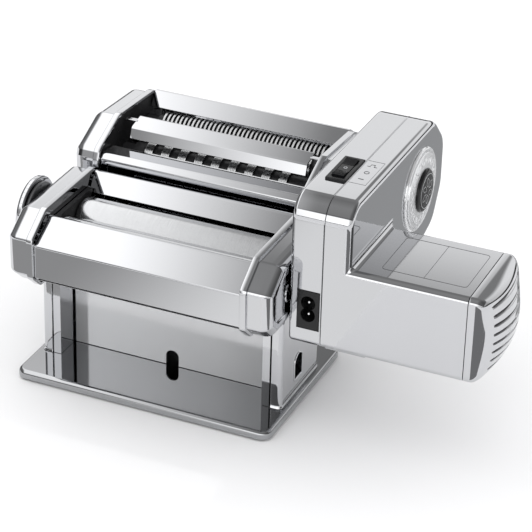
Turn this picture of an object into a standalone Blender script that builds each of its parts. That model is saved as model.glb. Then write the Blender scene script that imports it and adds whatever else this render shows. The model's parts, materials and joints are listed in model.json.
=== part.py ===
"""Pasta machine: dough rollers, a cutter attachment on its rear and a motor drive on its right side.

Lengths are in millimetres in the machine's own frame: +X to the machine's right along the rollers, +Y to its
rear, +Z up from the surface it stands on, with X = 0 and Y = 0 in the middle of the base. The helpers turn
them into metres. The whole model then moves so that the origin lies under the middle of its bounding box.
"""

import math

import bmesh
import bpy
from mathutils import Matrix, Vector

MM = 0.001
GAP = 0.3                          # clearance between pieces that touch
WELD = 0.00001                     # merge distance, metres

# ---------------------------------------------------------------- driving dimensions
PLATE_IN = 78.0                    # inner face of a side plate, from the middle
PLATE_OUT = 79.6
RIM_X = 77.0                       # inner edge of an end cover
COVER_X = 98.5                     # outer face of an end cover
SHEET_END = RIM_X - GAP            # end of the sheets between the end covers
SHEET = 1.2                        # sheet metal thickness
WALL = 1.8                         # wall of the cast covers

BASE_X, BASE_Y, BASE_TOP = 97.5, 66.0, 7.7
FOOT_TOP = 5.9
LEG_Y = 33.5
LEG_OUT = 92.5
LEG_BOTTOM = BASE_TOP + GAP
COVER_BOTTOM = 78.0
CENTRE_WALL_Y, CENTRE_WALL_TOP = 12.3, 84.0

ROLLER_R = 16.0
ROLLER_Z = 104.0
NIP_Y = -20.0
NIP_GAP = 0.93                     # dough thickness at the number the knob stands on
FRONT_ROLLER_Y = NIP_Y - ROLLER_R - NIP_GAP / 2
REAR_ROLLER_Y = NIP_Y + ROLLER_R + NIP_GAP / 2
ROLLER_END = 73.8
SHAFT_R = 6.0
SOCKET_R = 4.2
SOCKET_BOTTOM = 79.0
SHAFT_END = 92.0
ROLLER_GEAR = dict(teeth=16, pitch_r=16.0, tip=2.1, root=2.9)
SLIDE_BLOCK = 8.5                  # half the side of the rear roller's square bearings

KNOB_Y, KNOB_Z, KNOB_R = -20.0, 111.0, 25.0
KNOB_IN, KNOB_OUT = -99.0, -106.5
DIAL_IN_R, DIAL_OUT_R = 15.0, 21.5

CUTTER_TIP_R, CUTTER_CORE_R = 10.2, 8.2
CUTTER_PAIR = 19.0                 # between the axes of a pair
FETTUCCINE = (49.0, 125.5)         # (y, z) of the front roller of the pair
TAGLIOLINI = (88.0, 132.0)
CUTTER_END = 65.0
FETTUCCINE_PITCH = 13.1
FETTUCCINE_DISC = 6.3
CUTTER_GEAR_TEETH = 12
CUTTER_GEAR_X = {"fettuccine": (-90.0, -87.3), "tagliolini": (-86.7, -84.0)}   # clear of each other

DRIVE_IN = 99.0                    # inner face of the gearbox
SEAM_X = 122.6
GEARBOX_OUT = 141.2
BARREL_OUT = 223.0
CAP_OUT = 245.0
DRIVE_FRONT, GEARBOX_REAR = -41.3, 138.5
BARREL_REAR = 33.0
BARREL_LOW, BARREL_TOP = 68.9, 131.5
HOUSING_WALL = 2.4
MOTOR_AXIS = (-4.15, 100.2)
MEDALLION_AXIS = (88.3, 133.9)
MEDALLION_R, BADGE_R = 30.5, 15.8
GEAR_MODULE = 2.0
GEAR_FACE_TIP, GEAR_FACE_ROOT = 1.7, 2.3

SWITCH_Y, SWITCH_X = 12.0, 114.7
SWITCH_PIVOT_Z = 174.0
INLET_X, INLET_PINS_Z = 113.2, (92.5, 101.4)

# The frame's corner is set so that the origin lies under the middle of the whole machine's box.
LOW_X, HIGH_X = KNOB_OUT, CAP_OUT
LOW_Y, HIGH_Y = -73.5, GEARBOX_REAR
ORIGIN_X = (LOW_X + HIGH_X) / 2
ORIGIN_Y = (LOW_Y + HIGH_Y) / 2

# ---------------------------------------------------------------- outlines
# (y, z, corner radius), anticlockwise
COVER = [(-62, COVER_BOTTOM, 6), (22.4, COVER_BOTTOM, 3), (22.4, 133, 4), (-52, 132.5, 7), (-73.5, 118, 7),
         (-73, 88, 6)]
CUTTER_COVER = [(24.2, 94, 4), (122, 94, 16), (134, 112, 20), (131, 146, 10), (113.5, 155, 10),
                (59.3, 158, 14), (27.3, 143.4, 8), (24.2, 136, 3)]
GEARBOX = [(DRIVE_FRONT, 66.7, 10), (48, 66.7, 30), (124, 92, 20), (GEARBOX_REAR, 118, 22),
           (GEARBOX_REAR, 154, 22), (116, 176.5, 24), (DRIVE_FRONT, 176.5, 16)]
BARREL = [(DRIVE_FRONT, BARREL_LOW, 7), (BARREL_REAR, BARREL_LOW, 7), (BARREL_REAR, BARREL_TOP, 5),
          (DRIVE_FRONT, BARREL_TOP, 5)]
TRAY = [(-BASE_X, -BASE_Y, 8), (BASE_X, -BASE_Y, 8), (BASE_X, BASE_Y, 8), (-BASE_X, BASE_Y, 8)]

# ---------------------------------------------------------------- finishes: colour, roughness, metallic
CHROME = ((0.86, 0.87, 0.88), 0.06, 1.0)
SATIN = ((0.62, 0.63, 0.64), 0.32, 1.0)
STEEL = ((0.45, 0.45, 0.46), 0.35, 1.0)
GREY_METAL = ((0.42, 0.43, 0.44), 0.30, 1.0)
BLACK = ((0.012, 0.012, 0.013), 0.30, 0.0)
NYLON = ((0.70, 0.68, 0.60), 0.50, 0.0)
RUBBER = ((0.03, 0.03, 0.03), 0.80, 0.0)

ALONG_X = Matrix(((0, 0, 1, 0), (1, 0, 0, 0), (0, 1, 0, 0), (0, 0, 0, 1)))   # (a, b, c) goes to (c, a, b)
ALONG_Z = Matrix.Identity(4)


# ---------------------------------------------------------------- scene and tree
def clear_scene():
    for old in list(bpy.data.objects):
        bpy.data.objects.remove(old, do_unlink=True)


def new_collection(name):
    collection = bpy.data.collections.new(name)
    bpy.context.scene.collection.children.link(collection)
    return collection


clear_scene()
PARTS = new_collection("pasta_machine")
CUTTERS = new_collection("cutters")
BODIES = {}


def body(name, parent=None, pivot=(0, 0, 0)):
    """An empty that carries one rigid group of pieces; its pivot lies on the group's joint axis."""
    empty = bpy.data.objects.new(name + "_body", None)
    empty.empty_display_size = 10 * MM
    PARTS.objects.link(empty)
    if parent:
        empty.parent = BODIES[parent][0]
        empty.location = (Vector(pivot) - BODIES[parent][1]) * MM
    else:
        empty.location = Vector((-ORIGIN_X, -ORIGIN_Y, 0)) * MM
    BODIES[name] = (empty, Vector(pivot))
    return name


def give_finish(piece, finish):
    colour, roughness, metallic = finish
    material = bpy.data.materials.new(piece.name)
    material.use_nodes = True
    shader = material.node_tree.nodes["Principled BSDF"]
    shader.inputs["Base Color"].default_value = (*colour, 1)
    shader.inputs["Roughness"].default_value = roughness
    shader.inputs["Metallic"].default_value = metallic
    piece.data.materials.clear()
    piece.data.materials.append(material)


def node(name, mesh, group, finish):
    """Link a mesh that is in the machine's frame as a named piece of a body."""
    empty, pivot = BODIES[group]
    mesh.transform(Matrix.Translation(-pivot * MM))
    piece = bpy.data.objects.new(name, mesh)
    PARTS.objects.link(piece)
    piece.parent = empty
    give_finish(piece, finish)
    mesh.shade_smooth()
    mesh.set_sharp_from_angle(angle=math.radians(35))
    return piece


def boolean(piece, tool_mesh, operation="DIFFERENCE"):
    """Cut or join a piece with a mesh in the machine's frame, kept as a hidden guide."""
    guide = bpy.data.objects.new(piece.name + "_tool", tool_mesh)
    CUTTERS.objects.link(guide)
    guide.parent = BODIES["machine"][0]
    guide.display_type = "WIRE"
    guide.hide_render = True
    modifier = piece.modifiers.new(operation.title(), "BOOLEAN")
    modifier.operation = operation
    modifier.solver = "EXACT"
    modifier.object = guide
    return piece


# ---------------------------------------------------------------- outlines
def inset(corners, distance):
    """Move each side of a closed outline inwards, and keep its corners round."""
    moved = []
    for index, (a, b, radius) in enumerate(corners):
        here = Vector((a, b))
        came = (here - Vector(corners[index - 1][:2])).normalized()
        goes = (Vector(corners[(index + 1) % len(corners)][:2]) - here).normalized()
        first, second = Vector((-came.y, came.x)), Vector((-goes.y, goes.x))
        point = here + (first + second) * distance / (1 + first.dot(second))
        change = distance if came.cross(goes) > 0 else -distance
        moved.append((point.x, point.y, max(radius - change, 0.4) if radius else 0))
    return moved


def rounded(corners, steps=2):
    """Points of a closed outline, with an arc at each corner that has a radius."""
    points = []
    for index, (a, b, radius) in enumerate(corners):
        here = Vector((a, b))
        back = (Vector(corners[index - 1][:2]) - here).normalized()
        ahead = (Vector(corners[(index + 1) % len(corners)][:2]) - here).normalized()
        half = back.angle(ahead) / 2
        if not radius:
            points.append(here)
            continue
        reach = radius / math.tan(half)
        centre = here + (back + ahead).normalized() * radius / math.sin(half)
        start = here + back * reach - centre
        end = here + ahead * reach - centre
        angle = math.atan2(start.y, start.x)
        sweep = (math.atan2(end.y, end.x) - angle + math.pi) % math.tau - math.pi
        for step in range(steps + 1):
            turn = angle + sweep * step / steps
            points.append(centre + radius * Vector((math.cos(turn), math.sin(turn))))
    return points


def circle(centre, radius, segments=16):
    turns = [math.tau * step / segments for step in range(segments)]
    return [Vector((centre[0] + radius * math.cos(t), centre[1] + radius * math.sin(t))) for t in turns]


def rectangle(low, high):
    return [Vector((low[0], low[1])), Vector((high[0], low[1])), Vector((high[0], high[1])),
            Vector((low[0], high[1]))]


def strip(path, thickness=SHEET, bend=1.6):
    """Closed outline of a bent sheet whose middle runs through the (a, b) points of a path."""
    points = [Vector(point) for point in path]
    sides = ([], [])
    for index, here in enumerate(points):
        came = (here - points[index - 1]).normalized() if index else None
        goes = (points[index + 1] - here).normalized() if index < len(points) - 1 else None
        came, goes = came or goes, goes or came
        first, second = Vector((-came.y, came.x)), Vector((-goes.y, goes.x))
        step = (first + second) * (thickness / 2) / (1 + first.dot(second))
        inner = 0 < index < len(points) - 1
        turn = came.cross(goes)
        for side, sign in zip(sides, (-1, 1)):
            point = here + step * sign
            radius = bend - thickness / 2 if turn * sign > 0 else bend + thickness / 2
            side.append((point.x, point.y, radius if inner else 0))
    return rounded(sides[0] + sides[1][::-1], steps=2)


def gear_outline(centre, teeth, pitch_r, tip, root, phase):
    """Straight-sided teeth with generous backlash; one tooth points in the direction of the phase."""
    points = []
    pitch = math.tau / teeth
    for tooth in range(teeth):
        middle = phase + tooth * pitch
        for radius, shift in ((pitch_r - root, -0.27), (pitch_r + tip, -0.11), (pitch_r + tip, 0.11),
                              (pitch_r - root, 0.27)):
            turn = middle + shift * pitch
            points.append(Vector((centre[0] + radius * math.cos(turn), centre[1] + radius * math.sin(turn))))
    return points


# ---------------------------------------------------------------- solids, as meshes in the machine's frame
def extruded(outlines, low, high, axis=ALONG_X):
    """Flat outline with its holes, extruded from low to high along the axis."""
    curve = bpy.data.curves.new("outline", "CURVE")
    curve.dimensions = "2D"
    curve.fill_mode = "BOTH"
    curve.extrude = (high - low) / 2 * MM
    for points in outlines:
        spline = curve.splines.new("POLY")
        spline.points.add(len(points) - 1)
        for knot, point in zip(spline.points, points):
            knot.co = (point.x * MM, point.y * MM, 0, 1)
        spline.use_cyclic_u = True
    holder = bpy.data.objects.new("outline", curve)
    bpy.context.scene.collection.objects.link(holder)
    bpy.context.view_layer.update()
    mesh = bpy.data.meshes.new_from_object(holder.evaluated_get(bpy.context.evaluated_depsgraph_get()))
    bpy.data.objects.remove(holder, do_unlink=True)
    work = bmesh.new()
    work.from_mesh(mesh)
    bmesh.ops.remove_doubles(work, verts=work.verts, dist=WELD)
    bmesh.ops.recalc_face_normals(work, faces=work.faces)
    work.to_mesh(mesh)
    work.free()
    mesh.transform(axis @ Matrix.Translation((0, 0, (low + high) / 2 * MM)))
    return mesh


def block(low, high):
    """Box between two corners."""
    low, high = Vector(low), Vector(high)
    work = bmesh.new()
    bmesh.ops.create_cube(work, size=MM)
    bmesh.ops.scale(work, vec=high - low, verts=work.verts)
    bmesh.ops.translate(work, vec=(low + high) / 2 * MM, verts=work.verts)
    mesh = bpy.data.meshes.new("block")
    work.to_mesh(mesh)
    work.free()
    return mesh


def rod(start, end, radius, segments=16):
    """Cylinder between two points."""
    start, end = Vector(start), Vector(end)
    work = bmesh.new()
    bmesh.ops.create_cone(work, cap_ends=True, segments=segments, radius1=radius * MM, radius2=radius * MM,
                          depth=(end - start).length * MM)
    turn = (end - start).to_track_quat("Z", "Y").to_matrix().to_4x4()
    bmesh.ops.transform(work, matrix=Matrix.Translation((start + end) / 2 * MM) @ turn, verts=work.verts)
    mesh = bpy.data.meshes.new("rod")
    work.to_mesh(mesh)
    work.free()
    return mesh


def turned(profile, centre, segments=16):
    """Solid of revolution about a line along X. The profile's (x, radius) points run from +X to -X."""
    mesh = bpy.data.meshes.new("profile")
    points = [(radius * MM, 0, x * MM) for x, radius in profile]
    mesh.from_pydata(points, [(i, i + 1) for i in range(len(points) - 1)], [])
    holder = bpy.data.objects.new("profile", mesh)
    bpy.context.scene.collection.objects.link(holder)
    screw = holder.modifiers.new("Turn", "SCREW")
    screw.steps = screw.render_steps = segments
    screw.use_merge_vertices = True
    screw.merge_threshold = WELD
    bpy.context.view_layer.update()
    solid = bpy.data.meshes.new_from_object(holder.evaluated_get(bpy.context.evaluated_depsgraph_get()))
    bpy.data.objects.remove(holder, do_unlink=True)
    place = Matrix.Translation((0, centre[0] * MM, centre[1] * MM))
    solid.transform(place @ ALONG_X)
    return solid


def shell(sections, wall, axis=ALONG_X):
    """Thin cup whose outside follows (height, corners) sections: open at the first, closed at the last."""
    first, last = sections[0][0], sections[-1][0]
    grows = last > first
    limit = last - wall if grows else last + wall
    inside = [(min(height, limit) if grows else max(height, limit), inset(corners, wall))
              for height, corners in sections]
    work = bmesh.new()
    rings = []
    for height, corners in inside[::-1] + sections:
        rings.append([work.verts.new((p.x * MM, p.y * MM, height * MM)) for p in rounded(corners)])
    for lower, upper in zip(rings, rings[1:]):
        for index in range(len(lower)):
            after = (index + 1) % len(lower)
            work.faces.new((lower[index], lower[after], upper[after], upper[index]))
    work.faces.new(rings[0][::-1])
    work.faces.new(rings[-1])
    if not grows:
        bmesh.ops.reverse_faces(work, faces=work.faces)
    mesh = bpy.data.meshes.new("shell")
    work.to_mesh(mesh)
    work.free()
    mesh.transform(axis)
    return mesh


def across(points, low=-SHEET_END, high=SHEET_END):
    """A sheet that spans the machine from plate to plate."""
    return extruded([points], low, high)


# ---------------------------------------------------------------- machine body
def build_base():
    sections = [(1.4, TRAY), (BASE_TOP - 1.3, TRAY), (BASE_TOP, inset(TRAY, 1.3))]
    node("base_tray", shell(sections, 1.4, ALONG_Z), "machine", CHROME)
    for depth, y in (("front", -BASE_Y + 10), ("rear", BASE_Y - 10)):
        for side, x in (("left", -BASE_X + 10), ("right", BASE_X - 10)):
            foot = rod((x, y, 0), (x, y, FOOT_TOP), 6, 16)
            node(f"foot_{depth}_{side}", foot, "machine", RUBBER)


def plate_outline():
    """Side plate of the machine: two legs' width below the cover, the cover's shape above."""
    low_front, low_rear, *upper = inset(COVER, WALL + 0.6)
    return rounded([(-LEG_Y, LEG_BOTTOM, 0), (LEG_Y, LEG_BOTTOM, 0), (LEG_Y, COVER_BOTTOM - 2, 3),
                    (low_rear[0], COVER_BOTTOM - 2, 0), *upper, low_front, (-LEG_Y, low_front[1], 0)])


def build_side_frames():
    low = (REAR_ROLLER_Y - SLIDE_BLOCK - 2, ROLLER_Z - 9.4)
    high = (REAR_ROLLER_Y + SLIDE_BLOCK + 4, ROLLER_Z + 9.4)
    slot = rectangle(low, high)
    bush_hole = circle((FRONT_ROLLER_Y, ROLLER_Z), 9.3)
    for name, side in (("left", -1), ("right", 1)):
        low, high = sorted((side * PLATE_IN, side * PLATE_OUT))
        plate = extruded([plate_outline(), slot, bush_hole], low, high)
        frame = node(f"{name}_side_frame", plate, "machine", CHROME)
        for y in (-LEG_Y, LEG_Y - SHEET):
            near, far = sorted((side * (PLATE_OUT - 0.8), side * 83.6))
            flange = block((near, y + 0.01, LEG_BOTTOM + 0.01), (far, y + SHEET, COVER_BOTTOM - 2.2))
            boolean(frame, flange, "UNION")


def build_leg_covers():
    arch = [(-11, 19, 0), (3, 19, 0), (3, 38, 6.9), (-11, 38, 6.9)]
    for name, side in (("left", -1), ("right", 1)):
        inner, outer, y = side * 84.6, side * (LEG_OUT - SHEET / 2), LEG_Y - SHEET / 2
        path = [(inner, -y), (outer, -y), (outer, y), (inner, y)]
        channel = extruded([strip(path, bend=2.6)], LEG_BOTTOM, COVER_BOTTOM - GAP, ALONG_Z)
        cover = node(f"{name}_leg_cover", channel, "machine", CHROME)
        low, high = sorted((side * (LEG_OUT - 4), side * (LEG_OUT + 4)))
        boolean(cover, extruded([rounded(arch)], low, high))


def build_sheets():
    y, top = CENTRE_WALL_Y, CENTRE_WALL_TOP - SHEET / 2
    bent = strip([(-y, LEG_BOTTOM), (-y, top), (y, top), (y, LEG_BOTTOM)])
    wall = node("centre_wall", across(bent), "machine", CHROME)
    arch = [(-5, 5, 0), (5, 5, 0), (5, 20, 4.9), (-5, 20, 4.9)]
    opening = extruded([rounded(arch)], CENTRE_WALL_Y - 5, CENTRE_WALL_Y + 5, ALONG_Z)
    opening.transform(Matrix.Rotation(math.radians(90), 4, "X"))
    boolean(wall, opening)
    panel = [(-70.1, 88.5), (-70.1, 113), (-49, 126), (-44.6, 124.2)]
    node("front_panel", across(strip(panel, bend=2.4)), "machine", CHROME)
    panel = [(10.9, 117.6), (18.7, 130.2), (21.2, 130.2), (21.2, 86)]
    node("rear_panel", across(strip(panel, bend=1.2)), "machine", CHROME)
    front = [(-66, 84.5), (-54.5, 93), (-52, 93.8)]
    node("front_scraper", across(strip(front, 0.8)), "machine", STEEL)
    rear = [(18.8, 86.5), (17, 92), (14.2, 94.4)]
    node("rear_scraper", across(strip(rear, 0.8)), "machine", STEEL)
    rail = [(23.1, 98), (23.1, 100.5), (25.6, 103), (25.6, 116)]
    node("mounting_rail", across(strip(rail, 1.0)), "machine", STEEL)


def build_end_covers():
    crank_hole = rod((80, FRONT_ROLLER_Y, ROLLER_Z), (104, FRONT_ROLLER_Y, ROLLER_Z), 6.6)
    knob_hole = rod((-80, KNOB_Y, KNOB_Z), (-104, KNOB_Y, KNOB_Z), 5.4)
    for name, side, hole in (("left", -1, knob_hole), ("right", 1, crank_hole)):
        cover = node(f"{name}_end_cover", cover_shell(COVER, side), "machine", CHROME)
        boolean(cover, hole)
        low, high = sorted((side * (RIM_X - 2), side * 84.3))
        boolean(cover, block((low, -LEG_Y - 0.5, COVER_BOTTOM - 2), (high, 20.5, COVER_BOTTOM + 4)))


def cover_shell(corners, side):
    """Cast end cover: a flange, a shoulder and a raised outer face."""
    steps = ((RIM_X, 0), (82, 0), (83.5, 1.5), (91.5, 1.5), (97.5, 7), (COVER_X, 9))
    return shell([(side * x, inset(corners, narrowing)) for x, narrowing in steps], WALL)


def build_guards():
    """Plastic end pieces that close the hopper beside the rollers."""
    edge = rounded([(-45, 96, 2), (6, 96, 2), (6, 112, 0), (11.2, 122, 1), (-43, 122, 1)])
    low_z, high_z = ROLLER_Z - SHAFT_R - 0.6, ROLLER_Z + SHAFT_R + 0.6
    slot = rounded([(REAR_ROLLER_Y - 7, low_z, 6), (REAR_ROLLER_Y + 8.6, low_z, 6),
                    (REAR_ROLLER_Y + 8.6, high_z, 6), (REAR_ROLLER_Y - 7, high_z, 6)])
    holes = [circle((FRONT_ROLLER_Y, ROLLER_Z), SHAFT_R + 0.5), slot]
    for name, side in (("left", -1), ("right", 1)):
        low, high = sorted((side * (ROLLER_END + 0.4), side * (PLATE_IN - 2 * GAP)))
        node(f"{name}_roller_guard", extruded([edge] + holes, low, high), "machine", BLACK)


# ---------------------------------------------------------------- dough rollers and thickness adjuster
def roller_profile(radius, end, left_end, right_end, socket=True):
    """Turned roller with a square-shouldered shaft at each end and a crank socket at +X."""
    bore = [(right_end, 0)]
    if socket:
        bore = [(SOCKET_BOTTOM, 0), (SOCKET_BOTTOM, SOCKET_R), (right_end, SOCKET_R)]
    return bore + [(right_end, SHAFT_R), (end, SHAFT_R), (end, radius - 0.8), (end - 0.8, radius),
                   (0.8 - end, radius), (-end, radius - 0.8), (-end, SHAFT_R), (left_end, SHAFT_R),
                   (left_end, 0)]


def build_dough_rollers():
    front, rear = (FRONT_ROLLER_Y, ROLLER_Z), (REAR_ROLLER_Y, ROLLER_Z)
    body("front_roller", "machine", (0, *front))
    body("rear_carriage", "machine", (0, *rear))
    body("rear_roller", "rear_carriage", (0, *rear))
    solid = turned(roller_profile(ROLLER_R, ROLLER_END, -82, SHAFT_END), front, 28)
    node("front_roller", solid, "front_roller", SATIN)
    solid = turned(roller_profile(ROLLER_R, ROLLER_END, -82, 91, socket=False), rear, 28)
    node("rear_roller", solid, "rear_roller", SATIN)
    half_tooth = math.pi / ROLLER_GEAR["teeth"]
    for name, centre, phase in (("front_roller", front, 0), ("rear_roller", rear, math.pi + half_tooth)):
        outline = gear_outline(centre, phase=phase, **ROLLER_GEAR)
        node(f"{name}_gear", extruded([outline, circle(centre, SHAFT_R + 0.25)], 83.8, 89.8), name, STEEL)
    for name, side in (("left", -1), ("right", 1)):
        low, high = sorted((side * (PLATE_IN - 0.1), side * 82))
        bush = [circle(front, 9.0), circle(front, SHAFT_R + 0.25)]
        node(f"front_{name}_bush", extruded(bush, low, high), "machine", NYLON)
        block_outline = rectangle((rear[0] - SLIDE_BLOCK, rear[1] - SLIDE_BLOCK),
                                  (rear[0] + SLIDE_BLOCK, rear[1] + SLIDE_BLOCK))
        slide = [block_outline, circle(rear, SHAFT_R + 0.25)]
        node(f"rear_{name}_slide_block", extruded(slide, low, high), "rear_carriage", NYLON)


def build_adjuster():
    axis = (KNOB_Y, KNOB_Z)
    body("adjuster", "machine", (0, *axis))
    body("knob", "adjuster", (KNOB_IN, *axis))
    profile = [(-82.6, 0), (-82.6, 8), (-83.6, 9), (-88, 9), (-89, 8), (-89, 4), (-103.8, 4), (-103.8, 0)]
    node("adjuster_cam_shaft", turned(profile, axis), "adjuster", STEEL)
    outer = KNOB_R
    hub = DIAL_IN_R - 0.8
    profile = [(-104.2, 0), (-104.2, 4.3), (KNOB_IN, 4.3), (KNOB_IN, hub), (-101.6, hub + 0.4),
               (-101.6, outer - 0.8), (-102.4, outer), (-104.6, outer), (KNOB_OUT, outer - 2),
               (KNOB_OUT, outer - 7), (-105.2, outer - 9), (-105.2, 0)]
    node("thickness_knob", turned(profile, axis, 36), "knob", CHROME)
    ring = extruded([circle(axis, DIAL_OUT_R, 36), circle(axis, DIAL_IN_R, 24)], -101.3, KNOB_IN)
    node("knob_dial_ring", ring, "knob", GREY_METAL)


# ---------------------------------------------------------------- cutter attachment
def build_cutter_shells():
    body("cutter", "machine", (0, 78.7, 94))
    crank_holes = [rod((80, y, z), (104, y, z), 6.6) for y, z in (FETTUCCINE, TAGLIOLINI)]
    for name, side in (("left", -1), ("right", 1)):
        cover = node(f"cutter_{name}_cover", cover_shell(CUTTER_COVER, side), "cutter", CHROME)
        if side > 0:
            for hole in crank_holes:
                boolean(cover, hole)
        axes = [(y + shift, z) for y, z in (FETTUCCINE, TAGLIOLINI) for shift in (0, CUTTER_PAIR)]
        low, high = sorted((side * PLATE_IN, side * PLATE_OUT))
        holes = [circle(axis, SHAFT_R + 0.3) for axis in axes]
        plate = extruded([rounded(inset(CUTTER_COVER, WALL + 0.5))] + holes, low, high)
        node(f"cutter_{name}_plate", plate, "cutter", BLACK)


def build_cutter_sheets():
    ridge_path = [(76, 146.5), (74.2, 152.3), (59.8, 149.2), (57.1, 141.5)]
    ridge = node("cutter_ridge", across(strip(ridge_path, bend=2.0), -68, 68), "cutter", CHROME)
    for low, high in ((-SHEET_END, -67), (67, SHEET_END)):
        boolean(ridge, block((low, 66, 150.4), (high, 70, 151.6)), "UNION")
    path = [(28, 110), (28, 136), (30.5, 139.4), (48, 137.4)]
    shell = node("cutter_front_shell", across(strip(path, 1.2, 2.2)), "cutter", CHROME)
    hook = strip([(24.1, 106), (24.1, 118), (28, 118)], 0.9, 1.0)
    boolean(shell, across(hook, -60, 60), "UNION")
    path = [(108.6, 143.8), (115.4, 153.4), (118, 153.2), (128.6, 146), (131.2, 114), (121, 97)]
    node("cutter_rear_shell", across(strip(path, bend=1.8)), "cutter", CHROME)
    for name, (y, z) in (("fettuccine", FETTUCCINE), ("tagliolini", TAGLIOLINI)):
        middle = y + CUTTER_PAIR / 2
        comb = [(middle - 15.5, z - 9.6), (middle - 6, z - 14.2), (middle + 6, z - 14.2),
                (middle + 15.5, z - 9.6)]
        node(f"{name}_comb", across(strip(comb, 0.8, 1.0)), "cutter", STEEL)


def disc_profile(offset):
    """Fettuccine roller: discs a pitch apart from the left end, shifted along X by the offset."""
    profile = [(SOCKET_BOTTOM, 0), (SOCKET_BOTTOM, SOCKET_R), (SHAFT_END, SOCKET_R), (SHAFT_END, SHAFT_R),
               (CUTTER_END + 3, SHAFT_R), (CUTTER_END + 3, CUTTER_CORE_R)]
    count = int((2 * CUTTER_END - offset - FETTUCCINE_DISC) // FETTUCCINE_PITCH) + 1
    for index in reversed(range(count)):
        low = index * FETTUCCINE_PITCH + offset - CUTTER_END
        high = low + FETTUCCINE_DISC
        profile += [(high, CUTTER_CORE_R), (high, CUTTER_TIP_R), (low, CUTTER_TIP_R), (low, CUTTER_CORE_R)]
    end = -CUTTER_END - 3
    return profile + [(end, CUTTER_CORE_R), (end, SHAFT_R), (-92, SHAFT_R), (-92, 0)]


def build_cutter_rollers():
    pitch_r = CUTTER_PAIR / 2
    core = pitch_r - GAP
    plain = [(SOCKET_BOTTOM, 0), (SOCKET_BOTTOM, SOCKET_R), (SHAFT_END, SOCKET_R), (SHAFT_END, SHAFT_R),
             (CUTTER_END + 3, SHAFT_R), (CUTTER_END + 3, core), (-CUTTER_END - 3, core),
             (-CUTTER_END - 3, SHAFT_R), (-92, SHAFT_R), (-92, 0)]
    half_tooth = math.pi / CUTTER_GEAR_TEETH
    for name, (y, z) in (("fettuccine", FETTUCCINE), ("tagliolini", TAGLIOLINI)):
        for place, shift, offset in (("front", 0, 0), ("rear", CUTTER_PAIR, FETTUCCINE_PITCH / 2)):
            group = body(f"{name}_{place}_roller", "cutter", (0, y + shift, z))
            profile = disc_profile(offset) if name == "fettuccine" else plain
            node(f"{name}_{place}_roller", turned(profile, (y + shift, z), 12), group, SATIN)
            phase = math.pi + half_tooth if shift else 0
            teeth = gear_outline((y + shift, z), CUTTER_GEAR_TEETH, pitch_r, 1.3, 1.8, phase)
            gear = extruded([teeth, circle((y + shift, z), SHAFT_R + 0.25)], *CUTTER_GEAR_X[name])
            node(f"{name}_{place}_gear", gear, group, STEEL)


# ---------------------------------------------------------------- motor drive
def build_gearbox():
    body("motor_unit", "cutter", (DRIVE_IN, *MEDALLION_AXIS))
    sections = [(SEAM_X - 0.2, GEARBOX), (DRIVE_IN + 1.5, GEARBOX), (DRIVE_IN, inset(GEARBOX, 1.5))]
    inner = node("gearbox_inner_shell", shell(sections, HOUSING_WALL), "motor_unit", CHROME)
    boolean(inner, rod((90, *TAGLIOLINI), (110, *TAGLIOLINI), 7))
    boolean(inner, block((SWITCH_X - 6.1, SWITCH_Y - 16.3, 170), (SWITCH_X + 6.1, SWITCH_Y + 16.3, 180)))
    boolean(inner, block((INLET_X - 8.2, DRIVE_FRONT - 4, 81.2), (INLET_X + 8.2, DRIVE_FRONT + 6, 110.7)))
    sections = [(SEAM_X, GEARBOX), (138.2, GEARBOX), (140.4, inset(GEARBOX, 0.9)),
                (GEARBOX_OUT, inset(GEARBOX, 2.6))]
    housing = node("motor_housing", shell(sections, HOUSING_WALL), "motor_unit", CHROME)
    boolean(housing, extruded([rounded(BARREL)], 139.9, BARREL_OUT), "UNION")
    boolean(housing, extruded([rounded(inset(BARREL, HOUSING_WALL + 0.01))], 130, BARREL_OUT + 5))
    steps = ((BARREL_OUT + 0.2, 0), (228, 0.4), (234, 4), (240, 10.5), (CAP_OUT, 19))
    cap = shell([(x, inset(BARREL, narrow)) for x, narrow in steps], HOUSING_WALL)
    node("motor_end_cap", cap, "motor_unit", CHROME)


def build_medallion():
    face, disc = GEARBOX_OUT + GAP, GEARBOX_OUT + 3.2
    profile = [(disc, 0), (disc, BADGE_R + 0.6), (disc - 1.0, MEDALLION_R - 3.6),
               (disc - 2.2, MEDALLION_R - 3.2), (disc - 1.6, MEDALLION_R - 1.8),
               (disc - 1.9, MEDALLION_R - 0.5), (face, MEDALLION_R), (face, 0)]
    node("medallion", turned(profile, MEDALLION_AXIS, 36), "motor_unit", CHROME)
    profile = [(147.6, 0), (147.2, BADGE_R - 3), (146.4, BADGE_R - 0.8), (disc + GAP, BADGE_R),
               (disc + GAP, 0)]
    node("medallion_badge", turned(profile, MEDALLION_AXIS, 24), "motor_unit", BLACK)


def build_switch():
    top, x, y = 176.5, SWITCH_X, SWITCH_Y
    frame = block((x - 7.4, y - 18, top + GAP), (x + 7.4, y + 18, top + 1.7))
    bezel = node("switch_bezel", frame, "motor_unit", BLACK)
    boolean(bezel, block((x - 5.7, y - 15.9, 167), (x + 5.7, y + 15.9, top + 1)), "UNION")
    boolean(bezel, block((x - 4.6, y - 14.5, 160), (x + 4.6, y + 14.5, top + 9)))
    body("switch", "motor_unit", (x, y, SWITCH_PIVOT_Z))
    outline = [(y - 13, 169.5, 0), (y + 13, 169.5, 0), (y + 13.4, 180.2, 1), (y + 4.4, 178.4, 1),
               (y - 4.4, 178.4, 1), (y - 13.4, 180.2, 1)]
    node("switch_rocker", extruded([rounded(outline, 2)], x - 4.2, x + 4.2), "switch", BLACK)


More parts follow.
